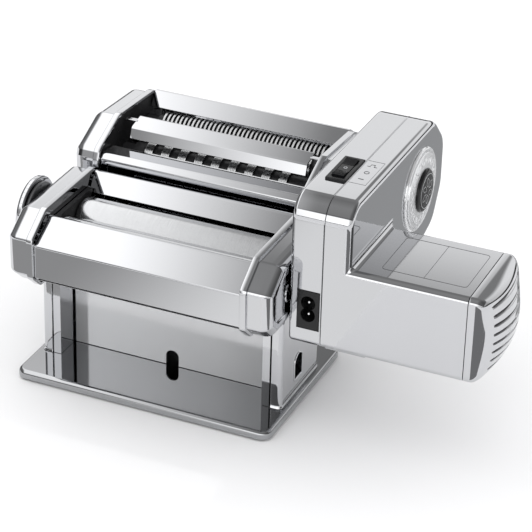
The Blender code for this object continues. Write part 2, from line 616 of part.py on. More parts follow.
def build_inlet():
    x, front = INLET_X, DRIVE_FRONT - 0.5
    inlet = node("power_inlet", block((x - 7.9, front, 81.5), (x + 7.9, -22, 110.4)), "motor_unit", BLACK)
    depth = front + 13
    for z in INLET_PINS_Z:
        boolean(inlet, rod((x, front - 3, z), (x, depth, z), 5.2))
    for z in INLET_PINS_Z:
        boolean(inlet, rod((x, front + 2, z), (x, depth + 2, z), 1.2, 8), "UNION")


def gear_pair(name, centre, wheels, shaft, finish=STEEL):
    """Compound gear: a turned shaft joined with its toothed wheels, each (teeth, phase, low, high)."""
    group = body(name, "motor_unit", (shaft[0][0], *centre))
    piece = node(name, turned(shaft, centre, 16), group, finish)
    for teeth, phase, low, high in wheels:
        pitch_r = teeth * GEAR_MODULE / 2
        outline = gear_outline(centre, teeth, pitch_r, GEAR_FACE_TIP, GEAR_FACE_ROOT, phase)
        boolean(piece, extruded([outline], low, high), "UNION")


def meeting_point(first, first_distance, second, second_distance):
    """The point at given distances from two others, on the upper side of the line between them."""
    first, second = Vector(first), Vector(second)
    apart = (second - first).length
    along = (apart ** 2 + first_distance ** 2 - second_distance ** 2) / (2 * apart)
    height = math.sqrt(first_distance ** 2 - along ** 2)
    forward = (second - first) / apart
    return first + forward * along + Vector((-forward.y, forward.x)) * height


def facing_phase(centre, other, teeth):
    """Phase that turns the middle of a gap towards the other gear's centre."""
    towards = Vector(other) - Vector(centre)
    return math.atan2(towards.y, towards.x) + math.pi / teeth


def toward_phase(centre, other):
    """Phase that turns the middle of a tooth towards the other gear's centre."""
    towards = Vector(other) - Vector(centre)
    return math.atan2(towards.y, towards.x)


FIRST_TURN = math.radians(30)      # direction from the motor's axis to the first idler's
PINION, WHEEL_1, SMALL_1, WHEEL_2, SMALL_2, OUTPUT = 10, 26, 10, 24, 10, 22


def build_gear_train():
    """Three reductions, from the motor's pinion to the coupling that drives the front tagliolini roller."""
    motor, drive = Vector(MOTOR_AXIS), Vector(TAGLIOLINI)
    spans = [(a + b) * GEAR_MODULE / 2 for a, b in ((PINION, WHEEL_1), (SMALL_1, WHEEL_2), (SMALL_2, OUTPUT))]
    first = motor + spans[0] * Vector((math.cos(FIRST_TURN), math.sin(FIRST_TURN)))
    second = meeting_point(drive, spans[2], first, spans[1])
    gear_pair("motor_pinion", motor, [(PINION, toward_phase(motor, first), 127.5, 137.5)],
              [(145.4, 0), (145.4, 2.5), (120, 2.5), (120, 0)])
    gear_pair("first_idler_gear", first,
              [(WHEEL_1, facing_phase(first, motor, WHEEL_1), 129, 135),
               (SMALL_1, toward_phase(first, second), 118, 127)],
              [(138.2, 0), (138.2, 3), (102, 3), (102, 0)], NYLON)
    gear_pair("second_idler_gear", second,
              [(WHEEL_2, facing_phase(second, first, WHEEL_2), 119, 125),
               (SMALL_2, toward_phase(second, drive), 106.5, 116.5)],
              [(138.2, 0), (138.2, 3), (102, 3), (102, 0)])
    tongue = [(118, 0), (118, 4.5), (99.5, 4.5), (99.5, 3.2), (81.5, 3.2), (81.5, 0)]
    gear_pair("output_gear", drive, [(OUTPUT, facing_phase(drive, second, OUTPUT), 108, 114.5)], tongue)


def build_motor():
    can = turned([(222, 0), (222, 10), (220, 26), (148.5, 27), (146.6, 25.5), (146.6, 0)], MOTOR_AXIS, 24)
    node("electric_motor", can, "motor_unit", STEEL)


def main():
    body("machine")
    build_base()
    build_side_frames()
    build_leg_covers()
    build_sheets()
    build_end_covers()
    build_guards()
    build_dough_rollers()
    build_adjuster()
    build_cutter_shells()
    build_cutter_sheets()
    build_cutter_rollers()
    build_gearbox()
    build_medallion()
    build_switch()
    build_inlet()
    build_gear_train()
    build_motor()
    bpy.context.view_layer.update()


main()
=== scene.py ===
import json
import math

import bmesh
import bpy
from mathutils import Matrix, Vector


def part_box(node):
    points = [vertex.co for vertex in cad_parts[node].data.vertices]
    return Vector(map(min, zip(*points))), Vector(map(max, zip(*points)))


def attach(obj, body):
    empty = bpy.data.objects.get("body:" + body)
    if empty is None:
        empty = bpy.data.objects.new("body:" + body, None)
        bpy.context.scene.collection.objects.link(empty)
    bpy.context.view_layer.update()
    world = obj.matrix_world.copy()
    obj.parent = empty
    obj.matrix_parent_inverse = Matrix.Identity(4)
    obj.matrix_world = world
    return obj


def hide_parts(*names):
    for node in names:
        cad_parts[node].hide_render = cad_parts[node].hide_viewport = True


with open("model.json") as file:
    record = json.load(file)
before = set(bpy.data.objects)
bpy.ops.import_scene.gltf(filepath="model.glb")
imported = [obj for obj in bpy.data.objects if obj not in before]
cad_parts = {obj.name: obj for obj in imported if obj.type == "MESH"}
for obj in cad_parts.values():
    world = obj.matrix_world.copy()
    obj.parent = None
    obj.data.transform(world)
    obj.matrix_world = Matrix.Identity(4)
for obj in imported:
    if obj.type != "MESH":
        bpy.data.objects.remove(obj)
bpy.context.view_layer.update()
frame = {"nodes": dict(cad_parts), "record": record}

MM = 0.001
WELD = 0.00001
RELIEF_DEPTH = 0.0002            # of a material's bump, in metres
NODES = frame["nodes"]

# The machine's own frame, as in the CAD source: millimetres, with X = 0 and Y = 0 in the middle of the base
TRAY_LOW, TRAY_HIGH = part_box("base_tray")
ORIGIN = Vector(((TRAY_LOW.x + TRAY_HIGH.x) / 2, (TRAY_LOW.y + TRAY_HIGH.y) / 2, 0))
ALONG_X = Matrix(((0, 0, 1, 0), (1, 0, 0, 0), (0, 1, 0, 0), (0, 0, 0, 1)))   # (a, b, c) goes to (c, a, b)
ALONG_Z = Matrix.Identity(4)


def span(node):
    """Lowest and highest corner of a CAD node, in the machine's frame."""
    low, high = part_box(node)
    return (low - ORIGIN) / MM, (high - ORIGIN) / MM


def middle(node):
    low, high = span(node)
    return (low + high) / 2


# ---------------------------------------------------------------- named sizes
SHEET = 1.2
SHEET_END = span("front_panel")[1].x
BASE_X, BASE_Y, BASE_TOP = (*(TRAY_HIGH - ORIGIN).xy / MM, TRAY_HIGH.z / MM)
RIM_X, COVER_X = span("right_end_cover")[0].x, span("right_end_cover")[1].x
LEG_Y, LEG_IN, LEG_OUT, LEG_BOTTOM, LEG_TOP = 33.5, 84.6, 92.5, 8.0, 77.7
WALL_Y, WALL_TOP = 12.3, 84.0
FRONT_AXIS, REAR_AXIS = middle("front_roller_gear").yz, middle("rear_roller_gear").yz
ROLLER_R, ROLLER_END, SHAFT_R, SHAFT_END = 16.0, 73.8, 6.0, 92
SOCKET_R, SOCKET_X = 4.2, 79                # the crank socket in a roller's right end
KNOB_AXIS = middle("thickness_knob").yz
KNOB_R, KNOB_IN, KNOB_OUT = 25.0, -99.0, span("thickness_knob")[0].x
DIAL_IN_R, DIAL_OUT_R, TOP_NUMBER = 15.0, 21.5, 7
CUTTER_AXES = {name: middle(f"{name}_gear").yz for name in (
    "fettuccine_front", "fettuccine_rear", "tagliolini_front", "tagliolini_rear")}
CUTTER_TIP_R, CUTTER_CORE_R, CUTTER_END = 10.2, 8.2, 65.0
FETTUCCINE_PITCH, FETTUCCINE_DISC = 13.1, 6.3
TAGLIOLINI_PITCH, TAGLIOLINI_DISC = 3.3, 1.6
DRIVE_IN, SEAM_X, GEARBOX_OUT = 99.0, 122.6, 141.2   # the gearbox's faces and its seam
BARREL_OUT, CAP_OUT = span("motor_end_cap")[0].x - 0.2, span("motor_end_cap")[1].x
DRIVE_FRONT, DRIVE_TOP, DRIVE_LOW, GEARBOX_REAR = -41.3, 176.5, 66.7, 138.5
BARREL_REAR, BARREL_LOW, BARREL_TOP = 33.0, 68.9, 131.5
EDGE_R = 4.5                       # rounding of the drive's edges
MEDALLION_AXIS, MEDALLION_R = middle("medallion").yz, 30.5
BADGE_R, BADGE_TOP = 15.8, 147.6
SWITCH_X, SWITCH_Y = middle("switch_rocker").xy
INLET_X, INLET_PINS_Z = middle("power_inlet").x, (92.5, 101.4)

# ---------------------------------------------------------------- outlines of the shells
# (y, z, corner radius), anticlockwise
COVER = [(-62, 78, 6), (22.4, 78, 3), (22.4, 133, 4), (-52, 132.5, 7), (-73.5, 118, 7), (-73, 88, 6)]
CUTTER_COVER = [(24.2, 94, 4), (122, 94, 16), (134, 112, 20), (131, 146, 10), (113.5, 155, 10),
                (59.3, 158, 14), (27.3, 143.4, 8), (24.2, 136, 3)]
GEARBOX = [(DRIVE_FRONT, BARREL_LOW, EDGE_R), (48, BARREL_LOW, 30), (124, 92, 20),
           (GEARBOX_REAR, 118, 22), (GEARBOX_REAR, 154, 22), (116, DRIVE_TOP, 24),
           (DRIVE_FRONT, DRIVE_TOP, 16)]
BARREL = [(DRIVE_FRONT, BARREL_LOW, EDGE_R), (BARREL_REAR, BARREL_LOW, EDGE_R),
          (BARREL_REAR, BARREL_TOP, EDGE_R), (DRIVE_FRONT, BARREL_TOP, EDGE_R)]
TRAY = [(-BASE_X, -BASE_Y, 8), (BASE_X, -BASE_Y, 8), (BASE_X, BASE_Y, 8), (-BASE_X, BASE_Y, 8)]


# ---------------------------------------------------------------- materials
def add(tree, kind, **inputs):
    """New shader node with its plain values set; an input given as a socket is linked."""
    node = tree.nodes.new("ShaderNode" + kind)
    for name, value in inputs.items():
        key = int(name[1:]) if name[0] == "i" and name[1:].isdigit() else name.replace("_", " ")
        if isinstance(value, bpy.types.NodeSocket):
            tree.links.new(value, node.inputs[key])
        else:
            node.inputs[key].default_value = value
    return node


def finish(name, colour, roughness, metallic=1.0, spread=0.05, tone=0.04, grain=40, stretch=(1, 1, 1),
           bump=0.02, **shader):
    """Procedural material: noise varies its tone and roughness and gives it a fine relief."""
    material = bpy.data.materials.new(name)
    material.use_nodes = True
    tree = material.node_tree
    surface = tree.nodes["Principled BSDF"]
    place = add(tree, "TexCoord").outputs["Object"]
    scaled = add(tree, "Mapping", Vector=place, Scale=stretch).outputs["Vector"]
    noise = add(tree, "TexNoise", Vector=scaled, Scale=grain, Detail=4.0, Roughness=0.55).outputs["Fac"]
    broad = add(tree, "TexNoise", Vector=place, Scale=9.0, Detail=2.0).outputs["Fac"]
    dark = [c * (1 - tone) for c in colour] + [1]
    light = [min(c * (1 + tone), 1) for c in colour] + [1]
    mixed = tree.nodes.new("ShaderNodeMix")
    mixed.data_type = "RGBA"
    tree.links.new(broad, mixed.inputs[0])
    mixed.inputs[6].default_value, mixed.inputs[7].default_value = dark, light
    tree.links.new(mixed.outputs[2], surface.inputs["Base Color"])
    rough = add(tree, "MapRange", Value=noise, From_Min=0.3, From_Max=0.7,
                To_Min=max(roughness - spread, 0.0), To_Max=roughness + spread)
    tree.links.new(rough.outputs["Result"], surface.inputs["Roughness"])
    relief = add(tree, "Bump", Height=noise, Strength=bump, Distance=RELIEF_DEPTH)
    tree.links.new(relief.outputs["Normal"], surface.inputs["Normal"])
    surface.inputs["Metallic"].default_value = metallic
    for key, value in shader.items():
        surface.inputs[key.replace("_", " ")].default_value = value
    return material


CHROME_COLOUR = (0.575, 0.58, 0.595)
CHROME = finish("polished_chrome", CHROME_COLOUR, 0.045, spread=0.015, tone=0.02, grain=14, bump=0.03)
CAST_CHROME = finish("cast_chrome", CHROME_COLOUR, 0.05, spread=0.015, tone=0.02, grain=9, bump=0.03)
# Darker copy of the body's chrome for the tray: painted shade standing in for the tray's dark reflections
SHADED_TRAY_CHROME = finish("tray_chrome_painted_shade", (0.41, 0.415, 0.425), 0.05, spread=0.02, tone=0.03, grain=18, bump=0.03)
SATIN = finish("turned_aluminium", (0.54, 0.545, 0.555), 0.13, spread=0.05, tone=0.04, grain=30,
               stretch=(90, 2, 2), bump=0.08)
CUTTER = finish("cutter_aluminium", (0.66, 0.665, 0.67), 0.30, spread=0.08, tone=0.06, grain=60,
                stretch=(6, 6, 6), bump=0.10)
STEEL = finish("ground_steel", (0.46, 0.46, 0.47), 0.30, spread=0.08, tone=0.08, grain=50,
               stretch=(1, 8, 8), bump=0.12)
DIAL = finish("dial_grey", (0.27, 0.275, 0.28), 0.36, spread=0.06, tone=0.08, grain=220, bump=0.15)
BLACK = finish("gloss_black", (0.010, 0.010, 0.011), 0.20, 0.0, spread=0.06, tone=0.2, grain=160, bump=0.08,
               Specular_IOR_Level=0.3)
DARK = finish("moulded_black", (0.018, 0.018, 0.019), 0.34, 0.0, spread=0.08, tone=0.2, grain=300, bump=0.15,
              Specular_IOR_Level=0.25)
NYLON = finish("nylon", (0.68, 0.66, 0.58), 0.50, 0.0, spread=0.08, tone=0.06, grain=120, bump=0.10)
RUBBER = finish("foot_rubber", (0.020, 0.020, 0.020), 0.75, 0.0, spread=0.10, tone=0.3, grain=400, bump=0.30)
MARK = finish("mark_ink", (0.05, 0.05, 0.055), 0.45, 0.0, spread=0.08, tone=0.2, grain=300, bump=0.05)
PALE_MARK = finish("pale_ink", (0.55, 0.56, 0.57), 0.45, 0.0, spread=0.08, tone=0.1, grain=300, bump=0.05)
PIN = finish("inlet_pin", (0.80, 0.80, 0.81), 0.16, spread=0.04, tone=0.04, grain=200, bump=0.05)
WALL_PLATE = finish("wall_plate", (0.70, 0.705, 0.715), 0.12, 0.6, spread=0.03, tone=0.03, grain=20,
                    bump=0.03)
PEARL = finish("pearl_chrome", (0.80, 0.805, 0.815), 0.16, 0.55, spread=0.05, tone=0.04, grain=60, bump=0.08)
# Dark material that paints shade into the gaps between cutter discs and into the end cap's grooves
PAINTED_SHADE = finish("painted_shade", (0.030, 0.030, 0.032), 0.45, 0.2, spread=0.08, tone=0.2, grain=120, bump=0.08)

BY_SLOT = {"chrome_body": CHROME, "chrome_cutter": CHROME, "chrome_drive": CAST_CHROME, "chrome_knob": CHROME,
           "dial_grey": DIAL, "roller_aluminium": SATIN, "cutter_metal": CUTTER, "steel": STEEL,
           "black_plastic": BLACK, "dark_plastic": DARK, "nylon": NYLON, "foot_rubber": RUBBER}


# ---------------------------------------------------------------- outlines
def inset(corners, distance):
    """Move each side of a closed outline inwards, and keep its corners round."""
    moved = []
    for index, (a, b, radius) in enumerate(corners):
        here = Vector((a, b))
        came = (here - Vector(corners[index - 1][:2])).normalized()
        goes = (Vector(corners[(index + 1) % len(corners)][:2]) - here).normalized()
        first, second = Vector((-came.y, came.x)), Vector((-goes.y, goes.x))
        point = here + (first + second) * distance / (1 + first.dot(second))
        change = distance if came.cross(goes) > 0 else -distance
        moved.append((point.x, point.y, max(radius - change, 0.4) if radius else 0))
    return moved


def rounded(corners, steps=8, sides=0):
    """Points of a closed outline with an arc at each rounded corner, and extra points along its sides."""
    arcs = []
    for index, (a, b, radius) in enumerate(corners):
        here = Vector((a, b))
        back = (Vector(corners[index - 1][:2]) - here).normalized()
        ahead = (Vector(corners[(index + 1) % len(corners)][:2]) - here).normalized()
        half = back.angle(ahead) / 2
        if not radius:
            arcs.append([here])
            continue
        reach = radius / math.tan(half)
        centre = here + (back + ahead).normalized() * radius / math.sin(half)
        start = here + back * reach - centre
        end = here + ahead * reach - centre
        angle = math.atan2(start.y, start.x)
        sweep = (math.atan2(end.y, end.x) - angle + math.pi) % math.tau - math.pi
        turns = [angle + sweep * step / steps for step in range(steps + 1)]
        arcs.append([centre + radius * Vector((math.cos(t), math.sin(t))) for t in turns])
    points = []
    for index, arc in enumerate(arcs):
        after = arcs[(index + 1) % len(arcs)][0]
        points += arc + [arc[-1].lerp(after, (step + 1) / (sides + 1)) for step in range(sides)]
    return points


def degrees(step, count, first=1):
    """Angles in radians that are a step of degrees apart, from the given step up to one below the count."""
    return [math.radians(step * index) for index in range(first, count)]


def circle(centre, radius, segments=48):
    turns = [math.tau * step / segments for step in range(segments)]
    return [Vector((centre[0] + radius * math.cos(t), centre[1] + radius * math.sin(t))) for t in turns]


def strip(path, thickness=SHEET, bend=1.6, steps=8):
    """Closed outline of a bent sheet whose middle runs through the (a, b) points of a path."""
    points = [Vector(point) for point in path]
    sides = ([], [])
    for index, here in enumerate(points):
        came = (here - points[index - 1]).normalized() if index else None
        goes = (points[index + 1] - here).normalized() if index < len(points) - 1 else None
        came, goes = came or goes, goes or came
        first, second = Vector((-came.y, came.x)), Vector((-goes.y, goes.x))
        step = (first + second) * (thickness / 2) / (1 + first.dot(second))
        inner = 0 < index < len(points) - 1
        turn = came.cross(goes)
        for side, sign in zip(sides, (-1, 1)):
            point = here + step * sign
            radius = bend - thickness / 2 if turn * sign > 0 else bend + thickness / 2
            side.append((point.x, point.y, radius if inner else thickness * 0.3))
    return rounded(sides[0] + sides[1][::-1], steps)


# ---------------------------------------------------------------- meshes in the machine's frame
def evaluated(holder, *others):
    """Mesh of a temporary object with its modifiers, which is then removed."""
    bpy.context.view_layer.update()
    graph = bpy.context.evaluated_depsgraph_get()
    mesh = bpy.data.meshes.new_from_object(holder.evaluated_get(graph))
    for old in (holder, *others):
        bpy.data.objects.remove(old, do_unlink=True)
    return mesh


def holder_of(data):
    holder = bpy.data.objects.new("work", data)
    bpy.context.scene.collection.objects.link(holder)
    return holder


def mesh_of(work):
    """Mesh of a bmesh, with its normals outwards; the bmesh is freed."""
    mesh = bpy.data.meshes.new("mesh")
    bmesh.ops.recalc_face_normals(work, faces=work.faces)
    work.to_mesh(mesh)
    work.free()
    return mesh


def extruded(outlines, low, high, axis=ALONG_X):
    """Flat outline with its holes, extruded from low to high along the axis."""
    curve = bpy.data.curves.new("outline", "CURVE")
    curve.dimensions = "2D"
    curve.fill_mode = "BOTH"
    curve.extrude = (high - low) / 2 * MM
    for points in outlines:
        spline = curve.splines.new("POLY")
        spline.points.add(len(points) - 1)
        for knot, point in zip(spline.points, points):
            knot.co = (point[0] * MM, point[1] * MM, 0, 1)
        spline.use_cyclic_u = True
    flat = evaluated(holder_of(curve))
    work = bmesh.new()
    work.from_mesh(flat)
    bmesh.ops.remove_doubles(work, verts=work.verts, dist=WELD)
    mesh = mesh_of(work)
    mesh.transform(axis @ Matrix.Translation((0, 0, (low + high) / 2 * MM)))
    return mesh


def block(low, high, radius=0.0, segments=3):
    """Box between two corners, with rounded edges."""
    low, high = Vector(low), Vector(high)
    work = bmesh.new()
    bmesh.ops.create_cube(work, size=MM)
    bmesh.ops.scale(work, vec=high - low, verts=work.verts)
    bmesh.ops.translate(work, vec=(low + high) / 2 * MM, verts=work.verts)
    if radius:
        bmesh.ops.bevel(work, geom=work.edges[:], offset=radius * MM, segments=segments, profile=0.5,
                        affect="EDGES")
    return mesh_of(work)


def rod(start, end, radius, segments=48):
    start, end = Vector(start), Vector(end)
    work = bmesh.new()
    bmesh.ops.create_cone(work, cap_ends=True, segments=segments, radius1=radius * MM, radius2=radius * MM,
                          depth=(end - start).length * MM)
    turn = (end - start).to_track_quat("Z", "Y").to_matrix().to_4x4()
    bmesh.ops.transform(work, matrix=Matrix.Translation((start + end) / 2 * MM) @ turn, verts=work.verts)
    return mesh_of(work)


def turned(profile, centre, segments=96):
    """Solid of revolution about a line along X, from (x, radius) points that start and end on the line."""
    work = bmesh.new()
    rings = []
    for x, radius in profile:
        count = segments if radius > 0 else 1
        turns = [math.tau * step / segments for step in range(count)]
        rings.append([work.verts.new((x * MM, (centre[0] + radius * math.cos(turn)) * MM,
                                      (centre[1] + radius * math.sin(turn)) * MM)) for turn in turns])
    for lower, upper in zip(rings, rings[1:]):
        for step in range(segments):
            after = (step + 1) % segments
            corners = [lower[step % len(lower)], lower[after % len(lower)], upper[after % len(upper)],
                       upper[step % len(upper)]]
            unique = list(dict.fromkeys(corners))
            if len(unique) > 2:
                work.faces.new(unique)
    return mesh_of(work)


def skinned(sections):
    """Skin through (height, points) sections, closed at its ends."""
    work = bmesh.new()
    rings = [[work.verts.new((p.x * MM, p.y * MM, height * MM)) for p in points]
             for height, points in sections]
    for lower, upper in zip(rings, rings[1:]):
        for index in range(len(lower)):
            after = (index + 1) % len(lower)
            work.faces.new((lower[index], lower[after], upper[after], upper[index]))
    work.faces.new(rings[0])
    work.faces.new(rings[-1])
    return mesh_of(work)


def loft(sections, axis=ALONG_X, steps=8, sides=0):
    """Skin along the axis through (height, corners) sections."""
    mesh = skinned([(height, rounded(corners, steps, sides)) for height, corners in sections])
    mesh.transform(axis)
    return mesh


def cup(corners, profile, wall, axis=ALONG_X, steps=8):
    """Thin cup that is open at the first point of its outside's profile, which gives (height, inset)."""
    first, last = profile[0][0], profile[-1][0]
    sign = 1 if last > first else -1
    limit = last - sign * wall
    inner = [(height, inset(corners, narrow + wall)) for height, narrow in profile
             if (limit - height) * sign > 0.2]
    inner.append((limit, inset(corners, profile[-1][1] + wall * 0.6)))
    outer = [(height, inset(corners, narrow)) for height, narrow in profile]
    return loft(inner[::-1] + outer, axis, steps)


def carved(mesh, *tools, operation="DIFFERENCE"):
    """Mesh after each tool was cut from it or joined to it."""
    holder = holder_of(mesh)
    guides = [holder_of(tool) for tool in tools]
    for guide in guides:
        modifier = holder.modifiers.new("Cut", "BOOLEAN")
        modifier.operation = operation
        modifier.solver = "EXACT"
        modifier.object = guide
    return evaluated(holder, *guides)


def joined(*meshes):
    """One mesh with the faces of all."""
    work = bmesh.new()
    for mesh in meshes:
        work.from_mesh(mesh)
    return mesh_of(work)


def wire(points, radius=0.2, closed=False):
    """Thin round line through points, for marks and engraved borders."""
    curve = bpy.data.curves.new("line", "CURVE")
    curve.dimensions = "3D"
    curve.bevel_depth = radius * MM
    curve.bevel_resolution = 2
    curve.use_fill_caps = not closed
    spline = curve.splines.new("POLY")
    spline.points.add(len(points) - 1)
    for knot, point in zip(spline.points, points):
        knot.co = (*(Vector(point) * MM), 1)
    spline.use_cyclic_u = closed
    return evaluated(holder_of(curve))


# ---------------------------------------------------------------- pieces
def piece(name, mesh, body, slot, replaces=(), material=None, sharp=35, bevel=0.0):
    """Named piece in the machine's frame that rides on a CAD body and takes its finish from a slot."""
    mesh.transform(Matrix.Translation(ORIGIN))
    mesh.name = name
    made = bpy.data.objects.new(name, mesh)
    bpy.context.scene.collection.objects.link(made)
    mesh.materials.clear()
    mesh.materials.append(material or BY_SLOT[slot])
    mesh.shade_smooth()
    mesh.set_sharp_from_angle(angle=math.radians(sharp))
    if bevel:
        edge = made.modifiers.new("Edges", "BEVEL")
        edge.limit_method, edge.angle_limit = "ANGLE", math.radians(35)
        edge.width, edge.segments = bevel * MM, 3
    even = made.modifiers.new("Even", "WEIGHTED_NORMAL")
    even.keep_sharp, even.weight = True, 60
    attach(made, body)
    if replaces:
        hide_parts(*replaces)
    return made


def across(points, low=-SHEET_END, high=SHEET_END):
    return extruded([points], low, high)


# ---------------------------------------------------------------- machine body
def build_base():
    profile = [(1.4, 0.5), (1.7, 0.1), (2.2, 0.0), (BASE_TOP - 3.0, 0.0)]
    profile += [(BASE_TOP - 3.0 + 3.0 * math.sin(t), 3.0 * (1 - math.cos(t))) for t in degrees(10, 10)]
    tray = cup(TRAY, profile, SHEET, ALONG_Z)
    piece("tray_plate", tray, "machine", "chrome_body", ["base_tray"], SHADED_TRAY_CHROME)
    for depth in ("front", "rear"):
        for side in ("left", "right"):
            node = f"foot_{depth}_{side}"
            top = span(node)[1].z
            x, y = middle(node).xy
            pad = turned([(0.0, 0), (0.0, 5.2), (0.6, 5.8), (1.4, 6.0), (top - 0.2, 6.0), (top, 5.8), (top, 0)],
                         (0, 0), 40)
            pad.transform(Matrix.Translation((x * MM, y * MM, 0)) @ Matrix.Rotation(-math.pi / 2, 4, "Y"))
            piece(f"rubber_{node}", pad, "machine", "foot_rubber", [node])


def build_legs():
    """Channel on each leg, whose lower edge flares a little, with a rimmed arch in its outer face."""
    arch = rounded([(-11, 19, 0), (3, 19, 0), (3, 38, 6.9), (-11, 38, 6.9)], 10)
    rim = rounded([(-11, 19, 0.6), (3, 19, 0.6), (3, 38, 6.9), (-11, 38, 6.9)], 10)
    flare = ((LEG_BOTTOM, 0.6), (LEG_BOTTOM + 0.5, 0.5), (LEG_BOTTOM + 1.4, 0.1), (LEG_BOTTOM + 2.2, 0.0),
             (LEG_TOP, 0.0))
    for name, side in (("left", -1), ("right", 1)):
        sections = []
        for height, grow in flare:
            inner, outer, y = side * LEG_IN, side * (LEG_OUT - SHEET / 2 + grow), LEG_Y - SHEET / 2 + grow
            sections.append((height, strip([(inner, -y), (outer, -y), (outer, y), (inner, y)], bend=3.2)))
        low, high = sorted((side * (LEG_OUT - 5), side * (LEG_OUT + 5)))
        channel = carved(skinned(sections), extruded([arch], low, high))
        piece(f"{name}_leg_channel", channel, "machine", "chrome_body", [f"{name}_leg_cover"])
        line = wire([(side * (LEG_OUT + 0.05), y, z) for y, z in rim], 0.55, True)
        piece(f"{name}_leg_arch_rim", line, "machine", "chrome_body")


def build_sheets():
    y, top = WALL_Y, WALL_TOP - SHEET / 2
    wall = across(strip([(-y, LEG_BOTTOM), (-y, top), (y, top), (y, LEG_BOTTOM)], bend=2.0))
    opening = rounded([(-5, 5, 0), (5, 5, 0), (5, 20, 4.9), (-5, 20, 4.9)], 10)
    upright = Matrix.Rotation(math.radians(90), 4, "X")
    wall = carved(wall, extruded([opening], WALL_Y - 5, WALL_Y + 5, upright))
    piece("centre_wall_sheet", wall, "machine", "chrome_body", ["centre_wall"], WALL_PLATE)
    path = [(-70.1, 88.5), (-70.1, 113), (-49, 126), (-44.6, 124.2)]
    piece("front_panel_sheet", across(strip(path, bend=2.4)), "machine", "chrome_body", ["front_panel"])
    path = [(10.9, 117.6), (18.7, 130.2), (21.2, 130.2), (21.2, 86)]
    piece("rear_panel_sheet", across(strip(path, bend=1.2)), "machine", "chrome_body", ["rear_panel"])


def cover_cup(corners, side):
    """Cast end cover: a flange, a step, a rounded shoulder and a shallow panel in the outer face."""
    reach, shoulder, step, rise = COVER_X - RIM_X, 13.0, 2.15, 7.2
    profile = [(0.0, 0.5), (0.15, 0.15), (0.5, 0.0), (4.2, 0.0), (4.6, 0.15), (4.75, 0.5), (4.85, 1.7),
               (5.0, 2.05), (5.3, step), (shoulder, step)]
    profile += [(shoulder + (reach - shoulder) * math.sin(t), step + rise * (1 - math.cos(t)))
                for t in degrees(10, 10)]
    profile += [(reach, 11.8), (reach - 0.2, 12.3), (reach - 0.8, 12.7), (reach - 0.9, 13.1)]
    inside = [(0.0, 1.9), (3.6, 1.9), (4.6, 3.9), (14.0, 4.2), (17.8, 8.0), (reach - 2.6, 13.0)]
    return loft([(side * (RIM_X + x), inset(corners, narrow)) for x, narrow in inside[::-1] + profile])


def socket_ring(name, x, centre, body, slot):
    """Turned ring around a hole in an end cover."""
    profile = [(x - 1.2, 6.5), (x - 1.2, 8.0), (x, 8.0), (x + 0.5, 7.6), (x + 0.6, 7.1), (x + 0.4, 6.7),
               (x, 6.5), (x - 1.2, 6.5)]
    piece(name, turned(profile, centre, 64), body, slot)


def build_end_covers():
    crank_hole = rod((80, *FRONT_AXIS), (104, *FRONT_AXIS), 6.6)
    knob_hole = rod((-80, *KNOB_AXIS), (-104, *KNOB_AXIS), 5.4)
    for name, side, hole in (("left", -1, knob_hole), ("right", 1, crank_hole)):
        low, high = sorted((side * (RIM_X - 2), side * 84.3))
        gap = block((low, -LEG_Y - 0.5, 70), (high, 20.5, 82))
        cover = carved(cover_cup(COVER, side), hole, gap)
        piece(f"{name}_end_cover_shell", cover, "machine", "chrome_body", [f"{name}_end_cover"])
    socket_ring("crank_hole_ring", COVER_X - 0.9, FRONT_AXIS, "machine", "chrome_body")


# ---------------------------------------------------------------- dough rollers and knob
def build_dough_rollers():
    end, r, left = ROLLER_END, ROLLER_R, -82
    half = [(end, SHAFT_R), (end, r - 1.0), (end - 0.3, r - 0.3), (end - 1.0, r), (end - 4, r),
            (end - 4.15, r - 0.12), (end - 4.3, r)]
    for name, axis, right in (("front", FRONT_AXIS, SHAFT_END), ("rear", REAR_AXIS, SHAFT_END - 1)):
        bore = [(right, 0)]
        if name == "front":
            bore = [(SOCKET_X, 0), (SOCKET_X, SOCKET_R), (right, SOCKET_R)]
        profile = bore + [(right, SHAFT_R - 0.4), (right - 0.4, SHAFT_R)] + half
        profile += [(-x, radius) for x, radius in half[::-1]] + [(left, SHAFT_R), (left, 0)]
        piece(f"{name}_dough_roller", turned(profile, axis, 128), f"{name}_roller", "roller_aluminium",
              [f"{name}_roller"], sharp=30)


def numeral(text, size, depth):
    """Flat figure with a little thickness, centred on the origin in the XY plane, in metres."""
    curve = bpy.data.curves.new("figure", "FONT")
    curve.body = text
    curve.size = size * MM
    curve.extrude = depth * MM
    curve.align_x, curve.align_y = "CENTER", "CENTER"
    return evaluated(holder_of(curve))


